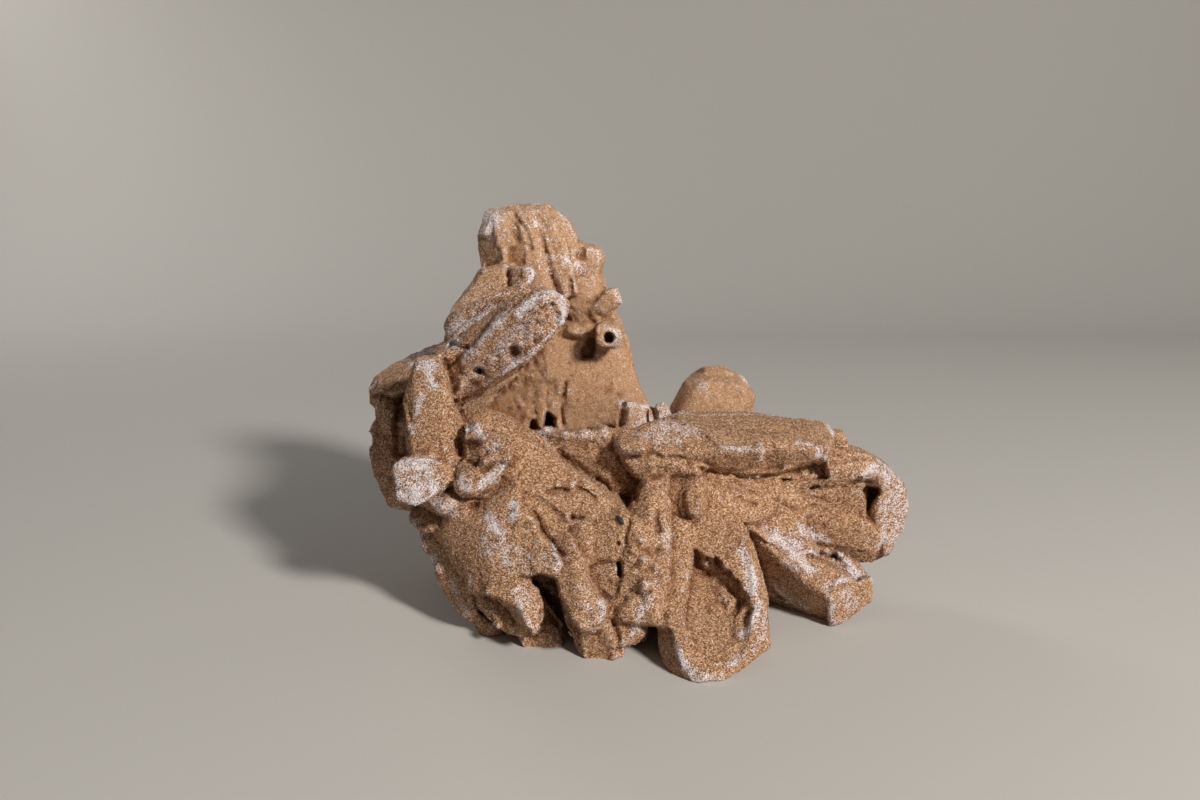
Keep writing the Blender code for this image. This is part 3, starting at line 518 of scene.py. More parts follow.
# White gypsum crust: course, width in millimetres, and how white.
PALE = {
    "block front": (((398, 468), (426, 466), (432, 484), (404, 496), (398, 480), (416, 480)), 2.4, 0.86),
    "block edge": (((394, 464), (416, 459), (436, 461)), 0.7, 0.95),
    "block low edge": (((398, 502), (420, 503), (438, 492)), 0.8, 0.9),
    "prism upright top": (((466, 428), (476, 426), (484, 436)), 1.3, 0.9),
    "prism nub": (((460, 476), (462, 486), (468, 488)), 1.2, 0.9),
    "prism lower": (((484, 484), (492, 478), (504, 468)), 1.3, 0.9),
    "prism upper": (((492, 452), (500, 444)), 1.2, 0.6),
    "thumb streak": (((428, 372), (433, 386)), 0.9, 1.0),
    "thumb edge high": (((422, 398), (417, 412)), 0.9, 0.9),
    "thumb edge low": (((413, 426), (409, 438)), 0.9, 0.9),
    "shoulder high": (((421, 346), (426, 352)), 1.0, 0.8),
    "shoulder low": (((408, 358), (413, 368)), 1.0, 0.8),
    "shoulder tip": (((369, 388), (376, 384)), 1.2, 0.8),
    "arm tip": (((520, 312), (534, 300), (548, 291), (560, 294), (565, 308), (562, 328)), 1.8, 0.95),
    "arm lower edge": (((470, 393), (500, 376), (530, 356), (560, 338)), 0.7, 0.8),
    "arm spot": (((508, 371), (516, 365)), 1.0, 1.0),
    "third block": (((450, 344), (458, 344)), 1.8, 0.9),
    "peak corner": (((486, 216), (492, 222), (486, 232)), 3.0, 1.0),
    "peak spot": (((535, 222), (540, 226)), 1.0, 0.8),
    "peak rim": (((556, 210), (568, 222), (573, 234)), 0.9, 0.7),
    "peak foot left": (((549, 257), (556, 260)), 1.0, 0.8),
    "peak foot right": (((563, 258), (570, 262)), 1.4, 0.9),
    "peak foot ledge": (((546, 268), (556, 276)), 1.0, 0.7),
    "cube edge": (((527, 268), (533, 272), (530, 282)), 1.0, 1.0),
    "knob spots": (((576, 264), (584, 270)), 1.2, 0.8),
    "knob top": (((590, 248), (598, 254)), 1.2, 0.6),
    "finger tip": (((616, 292), (622, 296)), 1.4, 0.8),
    "tube rim": (((606, 326), (617, 334), (616, 346)), 1.0, 0.8),
    "rim block top": (((622, 404), (638, 406), (650, 408)), 0.9, 0.9),
    "fan knob rim": (((614, 440), (622, 452), (638, 454)), 0.8, 0.9),
    "fan crest": (((672, 410), (700, 416), (740, 414), (790, 416), (826, 422)), 0.6, 0.7),
    "fan end": (((829, 426), (832, 434)), 1.0, 1.0),
    "scallop edge left": (((722, 446), (740, 449), (752, 450)), 0.55, 0.9),
    "scallop crescent": (((760, 444), (764, 452), (760, 460)), 0.9, 0.9),
    "scallop edge right": (((798, 443), (812, 445)), 0.8, 0.95),
    "scallop end": (((818, 450), (822, 458)), 1.1, 0.9),
    "stub bevel": (((742, 376), (750, 386)), 1.2, 0.8),
    "stub spots": (((700, 380), (706, 392)), 1.0, 0.5),
    "lip crust": (((862, 476), (870, 470), (878, 466)), 1.5, 0.9),
    "right rim top": (((880, 462), (892, 470), (900, 480)), 1.8, 0.75),
    "right rim edge": (((905, 498), (904, 520), (892, 540)), 1.2, 0.6),
    "low block line": (((806, 551), (834, 553)), 0.9, 0.9),
    "low block end top": (((832, 584), (848, 578), (862, 576)), 1.3, 0.9),
    "low block end left": (((826, 588), (832, 604), (830, 620)), 1.0, 0.9),
    "low block end low": (((834, 624), (852, 618), (868, 604)), 1.0, 0.9),
    "front rim high": (((744, 552), (752, 572), (754, 592)), 1.1, 0.95),
    "front rim low": (((757, 606), (750, 622), (746, 632)), 1.4, 0.9),
    "front rim outer": (((766, 612), (764, 634), (752, 650), (730, 664)), 0.9, 0.6),
    "front blade foot": (((676, 648), (684, 668), (694, 680), (712, 680)), 1.4, 0.85),
    "front blade smear": (((664, 534), (668, 544)), 1.4, 0.5),
    "ledge finger edge": (((516, 590), (519, 604), (522, 616), (536, 630)), 1.1, 0.75),
    "nub edge": (((553, 546), (560, 562), (556, 572)), 0.9, 0.75),
    "long finger tip": (((604, 600), (604, 616), (594, 628)), 1.3, 0.65),
    "edge plate": (((452, 584), (462, 606), (468, 613)), 0.9, 0.7),
    "edge plate side": (((470, 578), (469, 590)), 0.7, 0.8),
    "left hem": (((398, 508), (416, 530), (436, 566)), 1.4, 0.6),
    "low strip": (((644, 606), (636, 630), (624, 648)), 1.3, 0.6),
    "low lobe": (((560, 642), (556, 630)), 1.3, 0.5),
    "middle blade end": (((640, 612), (652, 590), (658, 572)), 1.6, 0.45),
    "middle blade patch": (((664, 540), (668, 534)), 1.3, 0.7),
    "low block crust a": (((775, 536), (784, 544), (792, 552)), 2.2, 0.95),
    "low block crust b": (((790, 541), (802, 548), (800, 560), (812, 568)), 1.8, 0.9),
    "low block crust c": (((802, 530), (812, 534), (826, 541)), 1.5, 0.9),
    "low block crust d": (((784, 560), (796, 568)), 1.0, 0.6),
    "low block flecks": (((778, 590), (790, 600), (806, 608)), 1.3, 0.6),
    "low block pit side": (((840, 556), (848, 563), (858, 576)), 1.5, 0.85),
    "wedge rim a": (((541, 431), (550, 431)), 1.7, 0.6),
    "wedge rim b": (((556, 433), (566, 437)), 1.6, 0.4),
    "wedge rim c": (((577, 434), (590, 433)), 1.7, 0.55),
    "wedge rim d": (((598, 432), (606, 430)), 1.7, 0.4),
    "right end facet": (((884, 468), (897, 490), (900, 512), (892, 536)), 3.6, 0.62),
    "right end edge": (((884, 505), (886, 526), (880, 546)), 1.2, 0.85),
    "shell chip": (((514, 506), (517, 511), (512, 518)), 1.1, 1.0),
    "shell smear": (((488, 518), (494, 524), (498, 530)), 1.5, 0.9),
    "shell wisp one": (((484, 538), (481, 556)), 0.6, 0.6),
    "shell wisp two": (((486, 553), (494, 545), (503, 544)), 0.6, 0.6),
    "shell wisp three": (((503, 557), (511, 572)), 0.8, 0.5),
    "fan grey left": (((646, 422), (662, 416), (676, 414)), 3.2, 0.7),
    "fan grey right": (((652, 434), (670, 426), (688, 430)), 3.2, 0.6),
    "second blade": (((454, 330), (470, 320), (488, 311)), 2.3, 0.7),
    "spur": (((436, 502), (446, 508), (452, 513)), 1.6, 0.9),
    "thumb head": (((418, 354), (429, 350), (438, 357)), 2, 0.95),
    "thumb tip": (((422, 362), (432, 366)), 1.6, 0.85),
    "arm top": (((468, 352), (484, 336), (500, 316)), 2.4, 0.7),
    "arm speckle": (((466, 382), (505, 346), (548, 314)), 3.2, 0.42),
    "low block end": (((846, 596), (852, 606)), 2.6, 0.5),
    "plate bloom": (((492, 520), (508, 548), (524, 562), (546, 560)), 3.2, 0.37),
    "ledge finger bloom": (((524, 590), (530, 612)), 2.2, 0.42),
    "long finger bloom": (((584, 590), (594, 612)), 2.4, 0.42),
}


def sight(u, v):
    """The unit direction from the eye through a pixel of the photograph."""
    x = (u - PHOTO_SIZE[0] / 2) / FOCAL_PIXELS
    y = (PHOTO_SIZE[1] / 2 - v) / FOCAL_PIXELS
    c, s = math.cos(PITCH), math.sin(PITCH)
    return Vector((x, c + y * s, -s + y * c)).normalized()


def pixels(points):
    """Where points show in the photograph."""
    c, s = math.cos(PITCH), math.sin(PITCH)
    away = points - EYE
    depth = away[:, 1] * c - away[:, 2] * s
    up = away[:, 1] * s + away[:, 2] * c
    u = PHOTO_SIZE[0] / 2 + FOCAL_PIXELS * away[:, 0] / depth
    v = PHOTO_SIZE[1] / 2 - FOCAL_PIXELS * up / depth
    return np.stack([u, v], 1)


def smooth(low, high, x):
    """From 0 at low to 1 at high, level at both ends."""
    t = np.clip((x - low) / (high - low), 0, 1)
    return t * t * (3 - 2 * t)


def unit(vectors):
    return vectors / np.maximum(np.linalg.norm(vectors, axis=1), 1e-9)[:, None]


def noise(points, size, seed):
    """Smooth random values from -1 to 1, with features of the given size."""
    table = np.random.default_rng(seed).uniform(-1, 1, 4096)
    p = points / size
    cell = np.floor(p).astype(np.int64)
    f = p - cell
    f = f * f * f * (f * (f * 6 - 15) + 10)
    sides = 1 - f, f
    total = 0.0
    for i in (0, 1):
        for j in (0, 1):
            for k in (0, 1):
                share = sides[i][:, 0] * sides[j][:, 1] * sides[k][:, 2]
                key = (cell[:, 0] + i) * 73856093 ^ (cell[:, 1] + j) * 19349663 ^ (cell[:, 2] + k) * 83492791
                total = total + share * table[(key ^ (key >> 13)) & 4095]
    return total


def rough(points, size, seed, layers=3, gain=0.5):
    """Several sizes of noise together, from -1 to 1."""
    total, weight = 0.0, 0.0
    for n in range(layers):
        share = gain**n
        total = total + share * noise(points + 17.3 * n, size / 2**n, seed + n)
        weight += share
    return total / weight


def numbers(items, name, width, kind):
    """One named value of each of a mesh's items, as an array of the given width."""
    values = np.empty(len(items) * width, kind)
    items.foreach_get(name, values)
    return values.reshape(-1, width)


def neighbour_sums(a, b, values):
    """For edges from points a to points b: the sum of the values at each point's neighbours."""
    count = len(values)
    return np.bincount(a, values[b], count) + np.bincount(b, values[a], count)


class Skin:
    """A mesh's points in millimetres, its edges, and what is worked out from them."""

    def __init__(self, obj):
        self.obj = obj
        self.read()

    def read(self):
        mesh = self.obj.data
        self.points = numbers(mesh.vertices, "co", 3, np.float32).astype(float) / MM
        self.edges = numbers(mesh.edges, "vertices", 2, np.int32)

    def write(self):
        self.obj.data.vertices.foreach_set("co", (self.points * MM).astype(np.float32).ravel())
        self.obj.data.update()

    def normals(self, spread=0):
        self.write()
        values = numbers(self.obj.data.vertex_normals, "vector", 3, np.float32).astype(float)
        return unit(self.averaged(values, spread)) if spread else values

    def averaged(self, values, times, share=1.0):
        """Values moved towards the mean of their neighbours, several times."""
        shape = values.shape
        values = values.reshape(len(values), -1).copy()
        a, b = self.edges[:, 0], self.edges[:, 1]
        degree = np.maximum(neighbour_sums(a, b, np.ones(len(values))), 1)
        for _ in range(times):
            for k in range(values.shape[1]):
                column = values[:, k]
                values[:, k] = column + (neighbour_sums(a, b, column) / degree - column) * share
        return values.reshape(shape)

    def melt(self, weight, times):
        """Smooths the points where the weight is above nothing."""
        chosen = weight > 0.01
        links = self.edges[chosen[self.edges[:, 0]] | chosen[self.edges[:, 1]]]
        used, flat = np.unique(links, return_inverse=True)
        a, b = flat.reshape(-1, 2).T
        local = self.points[used]
        share = (np.where(chosen, weight, 0)[used] * 0.9)[:, None]
        degree = neighbour_sums(a, b, np.ones(len(used)))[:, None]
        for _ in range(times):
            total = np.stack([neighbour_sums(a, b, local[:, k]) for k in range(3)], 1)
            local = local + (total / degree - local) * share
        self.points[used] = local

    def melt_inside(self, outline, edge, times):
        """Smooths what shows inside an outline, evenly from its edge inwards."""
        self.melt(smooth(0, edge, inside(outline, self.places)) * self.seen, times)

    def modified(self, kind, **settings):
        """Takes on the result of one modifier."""
        self.write()
        step = self.obj.modifiers.new(kind, kind)
        for key, value in settings.items():
            setattr(step, key, value)
        graph = bpy.context.evaluated_depsgraph_get()
        made = bpy.data.meshes.new_from_object(self.obj.evaluated_get(graph))
        self.obj.modifiers.remove(step)
        old = self.obj.data
        self.obj.data = made
        bpy.data.meshes.remove(old)
        self.read()

    def remesh(self):
        self.modified("REMESH", mode="VOXEL", voxel_size=VOXEL * MM, adaptivity=0.0)

    def look(self):
        """Works out where each point shows in the photograph, how far off it is, and whether it is seen."""
        self.write()
        self.tree = BVHTree.FromObject(self.obj, bpy.context.evaluated_depsgraph_get())
        self.places = pixels(self.points)
        self.depth = np.linalg.norm(self.points - EYE, axis=1)
        behind = np.zeros(len(self.points))
        eye = Vector(EYE) * MM
        for n, point in enumerate(self.points * MM):
            line = Vector(point) - eye
            length = line.length
            place, _, _, distance = self.tree.ray_cast(eye, line / length)
            if place is not None:
                behind[n] = (length - distance) / MM
        self.front = self.depth - behind
        self.seen = smooth(0.3, 0.9, self.averaged((behind < SEEN).astype(float), 3))
        self.thin = np.maximum(self.seen, 1 - smooth(*THIN, behind))

    def hit(self, u, v):
        """Where the line of sight through a pixel meets the stone, and how far off, or nothing."""
        place, _, _, distance = self.tree.ray_cast(Vector(EYE) * MM, sight(u, v))
        return None if place is None else (np.array(place) / MM, distance / MM)

    def course(self, corners):
        """Points on the stone along a line of pixels, without those on another form."""
        corners = np.array(corners, float)
        lengths = np.linalg.norm(np.diff(corners, axis=0), axis=1)
        whole = lengths.sum()
        found = []
        for t in np.linspace(0, whole, max(2, int(whole / STREAK_STEP) + 1)):
            n = min(int(np.searchsorted(np.cumsum(lengths), t)), len(lengths) - 1)
            share = (t - lengths[:n].sum()) / max(lengths[n], 1e-6)
            found.append(self.hit(*(corners[n] + (corners[n + 1] - corners[n]) * share)))
        points = np.array([hit[0] for hit in found if hit])
        deep = np.linalg.norm(points - EYE, axis=1)
        return points[np.abs(deep - np.median(deep)) < STREAK_DEPTH]

    def near(self, course, reach):
        """The points within reach of a course, and how far each is from it."""
        low, high = course.min(0) - reach, course.max(0) + reach
        chosen = np.nonzero(((self.points > low) & (self.points < high)).all(1))[0]
        distance = np.linalg.norm(self.points[chosen][:, None] - course[None], axis=2).min(1)
        keep = distance < reach
        return chosen[keep], distance[keep]


def inside(outline, places):
    """How far inside a closed outline each place is, in pixels, and below nothing outside it."""
    outline = np.array(outline, float)
    within = np.zeros(len(places), bool)
    distance = np.full(len(places), 1e9)
    for a, b in zip(outline, np.roll(outline, -1, 0)):
        crosses = (a[1] > places[:, 1]) != (b[1] > places[:, 1])
        slope = (b[0] - a[0]) / (b[1] - a[1]) if a[1] != b[1] else 0.0
        within ^= crosses & (places[:, 0] < a[0] + (places[:, 1] - a[1]) * slope)
        t = np.clip(((places - a) @ (b - a)) / max((b - a) @ (b - a), 1e-9), 0, 1)
        distance = np.minimum(distance, np.linalg.norm(places - a - t[:, None] * (b - a), axis=1))
    return np.where(within, distance, -distance)


def beside(course, places):
    """How far each place is from a line of pixels, how far to its left, and how near to its ends."""
    course = np.array(course, float)
    best = np.full(len(places), 1e9)
    side = np.zeros(len(places))
    along = np.zeros(len(places))
    gone = 0.0
    for a, b in zip(course, course[1:]):
        length = np.linalg.norm(b - a)
        way = (b - a) / length
        t = (places - a) @ way
        off = places - a - np.clip(t, 0, length)[:, None] * way
        distance = np.linalg.norm(off, axis=1)
        nearer = distance < best
        best = np.where(nearer, distance, best)
        side = np.where(nearer, (places - a) @ np.array([way[1], -way[0]]), side)
        along = np.where(nearer, gone + t, along)
        gone += length
    return best, np.where(side >= 0, best, -best), np.minimum(along, gone - along)


def warp(skin):
    """Bends straight edges and flat faces a little."""
    for size, much, seed in ((7.0, 0.40, 5), (2.6, 0.16, 9)):
        skin.points += much * np.stack([rough(skin.points, size, seed + 31 * k, 2) for k in range(3)], 1)


class Front:
    """What shows of the stone from the front, and how far towards the eye each point is to move."""

    def __init__(self, skin):
        skin.look()
        self.skin = skin
        waver = [
            sum(much * rough(skin.points, size, seed + k, 2) for much, size, seed in WAVER) for k in range(2)
        ]
        self.places = skin.places + np.stack(waver, 1)
        self.change = np.zeros(len(skin.points))

    def around(self, corners, margin):
        """Which points show within a margin of the corners' box."""
        low, high = corners.min(0) - margin, corners.max(0) + margin
        return (self.skin.thin > LEAST_THIN) & (self.places > low).all(1) & (self.places < high).all(1)

    def chosen(self, corners, margin):
        """Those of them that are about as deep as what shows just inside the corners, and their places."""
        corners = np.array(corners, float)
        inner = corners.mean(0) + (corners - corners.mean(0)) * 0.85
        hits = [self.skin.hit(*corner) for corner in inner]
        near = np.abs(self.skin.depth - np.median([hit[1] for hit in hits if hit])) < REACH
        here = np.nonzero(near & self.around(corners, margin))[0]
        return here, self.places[here]

    def set_faces(self):
        for outline, edge, three in FACES.values():
            here = np.nonzero(self.around(np.array(outline, float), edge))[0]
            places = self.places[here]
            three = np.array(three, float)
            slope = np.linalg.solve(np.column_stack([three[:, :2], np.ones(3)]), three[:, 2])
            away = (self.skin.front - self.change)[here] - places @ slope[:2] - slope[2]
            weight = smooth(-0.5 * edge, 0.5 * edge, inside(outline, places))
            self.change[here] += np.where(np.abs(away) < REACH, away * weight, 0)

    def set_plates(self):
        for outline, edge, first, last in PLATES.values():
            here, places = self.chosen(outline, 4)
            way = np.array([last[0] - first[0], last[1] - first[1]], float)
            share = np.clip((places - np.array(first[:2])) @ way / (way @ way), 0, 1)
            height = first[2] + (last[2] - first[2]) * share
            self.change[here] += height * smooth(-0.5 * edge, 0.5 * edge, inside(outline, places))

    def set_ledges(self):
        for course, rise, drop, reach in LEDGES.values():
            here, places = self.chosen(course, reach)
            distance, side, end = beside(course, places)
            high = smooth(-1.2, 1.2, side)
            fade = 1 - smooth(0, reach, distance)
            self.change[here] += (rise * high - drop * (1 - high)) * fade * smooth(-3, 7, end)

    def cut_grooves(self):
        for course, width, depth in GROOVES.values():
            width = width * PIXELS_PER_MM
            here, places = self.chosen(course, width * 3)
            distance, _, end = beside(course, places)
            self.change[here] -= depth * np.exp(-((distance / width) ** 2)) * smooth(-2, 8, end)

    def cut_holes(self):
        for place, radius, depth in HOLES.values():
            radius = radius * PIXELS_PER_MM
            here, places = self.chosen((place,), radius * 2)
            distance = np.linalg.norm(places - np.array(place), axis=1)
            self.change[here] -= depth * (1 - smooth(0.6 * radius, 1.2 * radius, distance))

    def lumps(self):
        """How far each point is pushed outwards by the rounded lumps."""
        skin = self.skin
        push = np.zeros(len(skin.points))
        for place, radius, height in LUMPS.values():
            off = np.linalg.norm(skin.places - np.array(place), axis=1) + 99 * (skin.seen < 0.5)
            near, distance = skin.near(skin.points[off.argmin()][None], radius)
            push[near] += height * (1 - smooth(0, radius, distance))
        return push

    def coarseness(self):
        """How far each point is pushed outwards, or inwards, where the surface is coarse."""
        lump = rough(self.skin.points, 2.2, 101, 3, 0.65)
        push = np.zeros(len(lump))
        for outline, much in COARSE.values():
            here, places = self.chosen(outline, 6)
            push[here] += much * lump[here] * smooth(-4, 6, inside(outline, places))
        return push


def carve(skin):
    """Cuts and raises the forms that show on the front, along the line of sight."""
    front = Front(skin)
    front.set_faces()
    front.set_plates()
    front.set_ledges()
    front.cut_grooves()
    front.cut_holes()
    out = skin.normals(6)
    push = front.lumps()
    coarse = front.coarseness()
    skin.points += unit(EYE - skin.points) * (front.change * skin.thin)[:, None]
    skin.points += out * push[:, None]
    for outline, times in SOFTENED.values():
        skin.melt_inside(outline, 6, times)
    skin.points += out * (coarse * skin.seen)[:, None]


def trim(skin):
    """Melts away the thin fins that cutting left."""
    near = skin.averaged(skin.points, 10, 0.8)
    off = ((skin.points - near) * skin.normals(2)).sum(1)
    skin.melt(smooth(0.35, 0.7, off), 30)


def relief(skin):
    """The surface's unevenness, from the size of a lump down to coarse sand."""
    swell, ripple, pit, chip, most_chip = 0.12, 0.14, 0.30, 1.0, 0.3
    out = skin.normals(4)
    p = skin.points
    edge = ((p - skin.averaged(p, 10, 0.8)) * skin.normals()).sum(1)
    height = swell * rough(p, 3.2, 23, 2)
    height += ripple * rough(p, 1.2, 37, 2)
    height -= pit * smooth(0.4, 0.8, rough(p, 2.2, 51, 2))
    height -= chip * np.clip(edge, 0, most_chip) * smooth(-0.1, 0.6, rough(p, 2.2, 57, 2))
    skin.points = p + out * height[:, None]
    skin.points[:, 2] = np.maximum(skin.points[:, 2], 0.0)


def give(mesh, name, values):
    """Writes a named value to each of a mesh's points."""
    attribute = mesh.attributes.new(name, "FLOAT", "POINT")
    attribute.data.foreach_set("value", values.astype(np.float32))


def streaks(skin, crust):
    """Adds the streaks and patches of white that show on the front."""
    for corners, width, much in PALE.values():
        chosen, distance = skin.near(skin.course(corners), width * 4)
        p = skin.points[chosen]
        uneven = distance * (1.25 + 0.6 * rough(p, 1.3, 91, 2) + 0.6 * rough(p, 4.0, 95, 2))
        here = 0.75 * np.exp(-((uneven / width) ** 2)) + 0.3 * np.exp(-((uneven / (2 * width)) ** 2))
        here *= 0.95 + 0.6 * rough(p, 2.6, 99, 2)
        crust[chosen] = np.maximum(crust[chosen], much * here)


def marks(skin):
    """How worn to white gypsum each point is, how fine its sand, and how much painted shade it gets in a
    hollow or crease.
    """
    p = skin.points
    out = skin.normals()
    near = skin.averaged(p, 12, 0.8)
    far = skin.averaged(near, 70, 0.9)
    edge = ((p - near) * out).sum(1)
    form = ((p - far) * out).sum(1)
    worn = smooth(0.45, 1.5, form + 0.4 * rough(p, 5.0, 71, 2))
    crust = 0.42 * worn * smooth(-0.35, 0.35, rough(p, 9.0, 75, 2))
    crust += 0.9 * np.clip(edge, 0, 0.3)
    crust += 0.12 * rough(p, 16.0, 83, 3) + 0.13 * smooth(40, 75, p[:, 2])
    streaks(skin, crust)
    # Painted shade: the colour is darkened in hollows and creases, where shade falls.
    hollow = smooth(0.1, 1.3, -form) * 0.75 + smooth(0.01, 0.18, -edge) * 0.6
    give(skin.obj.data, "crust", np.clip(crust, 0, 1))
    give(skin.obj.data, "fine", smooth(2, 16, p[:, 1]))
    give(skin.obj.data, "hollow", np.clip(hollow, 0, 1))


def placed(name, data):
    """A new object in the scene."""
    obj = bpy.data.objects.new(name, data)
    bpy.context.scene.collection.objects.link(obj)
    return obj


def shade_smooth(mesh):
    mesh.polygons.foreach_set("use_smooth", np.ones(len(mesh.polygons), bool))


def new_mesh(name, points, triangles, values, material):
    """A mesh object of triangles from points in millimetres, with named values at its points."""
    mesh = bpy.data.meshes.new(name)
    mesh.vertices.add(len(points))
    mesh.vertices.foreach_set("co", (points * MM).astype(np.float32).ravel())
    mesh.loops.add(len(triangles) * 3)
    mesh.loops.foreach_set("vertex_index", triangles.astype(np.int32).ravel())
    mesh.polygons.add(len(triangles))
    mesh.polygons.foreach_set("loop_start", np.arange(0, len(triangles) * 3, 3, dtype=np.int32))
    mesh.update(calc_edges=True)
    for key, value in values.items():
        give(mesh, key, value)
    mesh.materials.append(material)
    return placed(name, mesh)


def weathered():
    """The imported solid, remade finely, with the stone's forms, relief and marks, and the seed's two ends."""
    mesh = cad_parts[NODE].data.copy()
    mesh.materials.clear()
    skin = Skin(placed("stone", mesh))
    skin.remesh()
    skin.look()
    for outline, times in MELTED.values():
        skin.melt_inside(outline, 10, times)
    skin.points = skin.averaged(skin.points, 1, 0.5)
    warp(skin)
    carve(skin)
    skin.remesh()
    trim(skin)
    relief(skin)
    skin.look()
    marks(skin)
    return skin, (skin.hit(*SEED_PLACE)[0], skin.hit(*SEED_TIP)[0])


def stone():
    """The whole stone, as pieces that meet edge to edge, the seed's ends, and what the loose sand lies on."""
    skin, seed_ends = weathered()
    triangles = sum(len(p.vertices) - 2 for p in skin.obj.data.polygons)
    skin.modified("DECIMATE", ratio=MOST_TRIANGLES * PIECES / triangles)
    mesh = skin.obj.data
    mesh.calc_loop_triangles()
    corners = numbers(mesh.loop_triangles, "vertices", 3, np.int32)
    names = "crust", "fine", "hollow"
    # The "hollow" value is the painted shade in hollows and creases.
    values = {name: numbers(mesh.attributes[name].data, "value", 1, np.float32)[:, 0] for name in names}
    out = skin.normals()
    points = skin.points
    bpy.data.objects.remove(skin.obj)
    material = sandy_gypsum()
    order = np.argsort(points[corners].mean(1)[:, 1])
    made = []
    for n, part in enumerate(np.array_split(order, PIECES)):
        used, flat = np.unique(corners[part], return_inverse=True)
        own = {name: value[used] for name, value in values.items()}
        piece = new_mesh("stone_%d" % (n + 1), points[used], flat.reshape(-1, 3), own, material)
        shade_smooth(piece.data)
        piece.data.normals_split_custom_set_from_vertices(out[used])
        made.append(piece)
    return made, seed_ends, (points, corners, out, values)


def seed(place, tip):
    """A small dark seed, half sunk into the sand."""
    long = Vector(tip - place).normalized()
    towards = Vector(EYE - place).normalized()
    wide = towards.cross(long).normalized()
    axes = np.array([long, wide, long.cross(wide)])
    points = [(1.0, 0.0, 0.0)]
    for a in np.linspace(0, math.pi, SEED_RINGS + 2)[1:-1]:
        for b in np.arange(SEED_SIDES) * math.tau / SEED_SIDES:
            points.append((math.cos(a), math.sin(a) * math.cos(b), math.sin(a) * math.sin(b)))
    points.append((-1.0, 0.0, 0.0))
    last = len(points) - 1
    last_ring = last - SEED_SIDES
    triangles = []
    for k in range(SEED_SIDES):
        after = (k + 1) % SEED_SIDES
        triangles.append((0, 1 + k, 1 + after))
        for ring in range(1, last_ring, SEED_SIDES):
            a, b = ring + k, ring + after
            triangles += [(a, a + SEED_SIDES, b), (b, a + SEED_SIDES, b + SEED_SIDES)]
        triangles.append((last, last_ring + after, last_ring + k))
    points = np.array(points) * SEED_HALF @ axes + place + np.array(towards) * SEED_RISE
    piece = new_mesh("seed", points, np.array(triangles), {}, plain("seed_dark", (0.03, 0.03, 0.035), 0.5))
    shade_smooth(piece.data)
    return piece


def grains(points, corners, out, values):
    """Loose sand grains of four faces each, nearly half sunk into the stone's surface."""
    random = np.random.default_rng(GRAIN_SEED)
    count = GRAINS * GRAIN_PIECES
    a, b, c = (points[corners[:, k]] for k in range(3))
    area = np.linalg.norm(np.cross(b - a, c - a), axis=1)
    chosen = np.sort(random.choice(len(corners), count, p=area / area.sum()))
    share = random.dirichlet((1, 1, 1), count)
    middle = sum(share[:, k, None] * points[corners[chosen, k]] for k in range(3))
    up = unit(sum(share[:, k, None] * out[corners[chosen, k]] for k in range(3)))
    size = random.uniform(*GRAIN_RADIUS, count)
    middle = middle + up * (size * GRAIN_RISE)[:, None]
    shape = np.array([(1, 1, 1), (1, -1, -1), (-1, 1, -1), (-1, -1, 1)]) / math.sqrt(3)
    turn = np.linalg.qr(random.normal(size=(count, 3, 3)))[0]
    turn *= np.sign(np.linalg.det(turn))[:, None, None]
    stretch = random.uniform(*GRAIN_STRETCH, (count, 1, 3))
    grain = (shape[None] * stretch * size[:, None, None]) @ turn
    grain = grain + middle[:, None]
    faces = np.array([(0, 1, 2), (0, 3, 1), (0, 2, 3), (1, 3, 2)])
    tone = random.uniform(0, 1, count)
    order = np.nonzero(grain[:, :, 2].min(1) > GRAIN_LOWEST)[0]
    order = order[np.argsort(middle[order, 1], kind="stable")]
    material = loose_sand()
    made = []
    for n, part in enumerate(np.array_split(order, GRAIN_PIECES)):
        # Each grain takes the crust, fine sand and painted shade of the place where it lies.
        own = {name: np.repeat(value[corners[chosen[part], 0]], 4) for name, value in values.items()}
        own["tone"] = np.repeat(tone[part], 4)
        triangles = (faces[None] + 4 * np.arange(len(part))[:, None, None]).reshape(-1, 3)
        made.append(new_mesh("sand_%d" % (n + 1), grain[part].reshape(-1, 3), triangles, own, material))
    return made


# Sand's browns, each at its share of the way from the darkest grains to the palest.
SAND = (
    (0.13, (0.125, 0.055, 0.022)),
    (0.35, (0.290, 0.138, 0.060)),
    (0.50, (0.430, 0.222, 0.105)),
    (0.65, (0.575, 0.330, 0.172)),
    (0.86, (0.830, 0.610, 0.430)),
)
WHITE = ((0.60, 0.52, 0.52, 1), (0.88, 0.83, 0.85, 1))
# The tint of the painted shade in hollows and creases: darker, warmer sand.
PAINTED_SHADE_TINT = (0.52, 0.40, 0.30, 1)
PATCH_TINT = (0.86, 0.84, 0.86, 1)
FINE_SAND = (0.49, 0.29, 0.16, 1)
FINE_SHARE = 0.6
# The crust's edge: from where sand turns white, and where it is all white.
CRUST_EDGE = (0.52, 0.82)
# Sizes in millimetres of the coarse and fine grains, and how much the coarse ones count.
COARSE_GRAIN = 0.24
FINE_GRAIN = 0.18
COARSE_COUNTS = 0.62


def node(tree, kind, inputs=(), **settings):
    """A shader node with its settings and with numbers or other nodes' outputs as its inputs."""
    made = tree.nodes.new(kind)
    for key, value in settings.items():
        setattr(made, key, value)
    for key, value in dict(inputs).items():
        connect(tree, value, made.inputs[key])
    return made


def connect(tree, value, entry):
    if isinstance(value, bpy.types.NodeSocket):
        tree.links.new(value, entry)
    else:
        entry.default_value = value


def maths(tree, a, b, operation="ADD"):
    return node(tree, "ShaderNodeMath", {0: a, 1: b}, operation=operation).outputs[0]


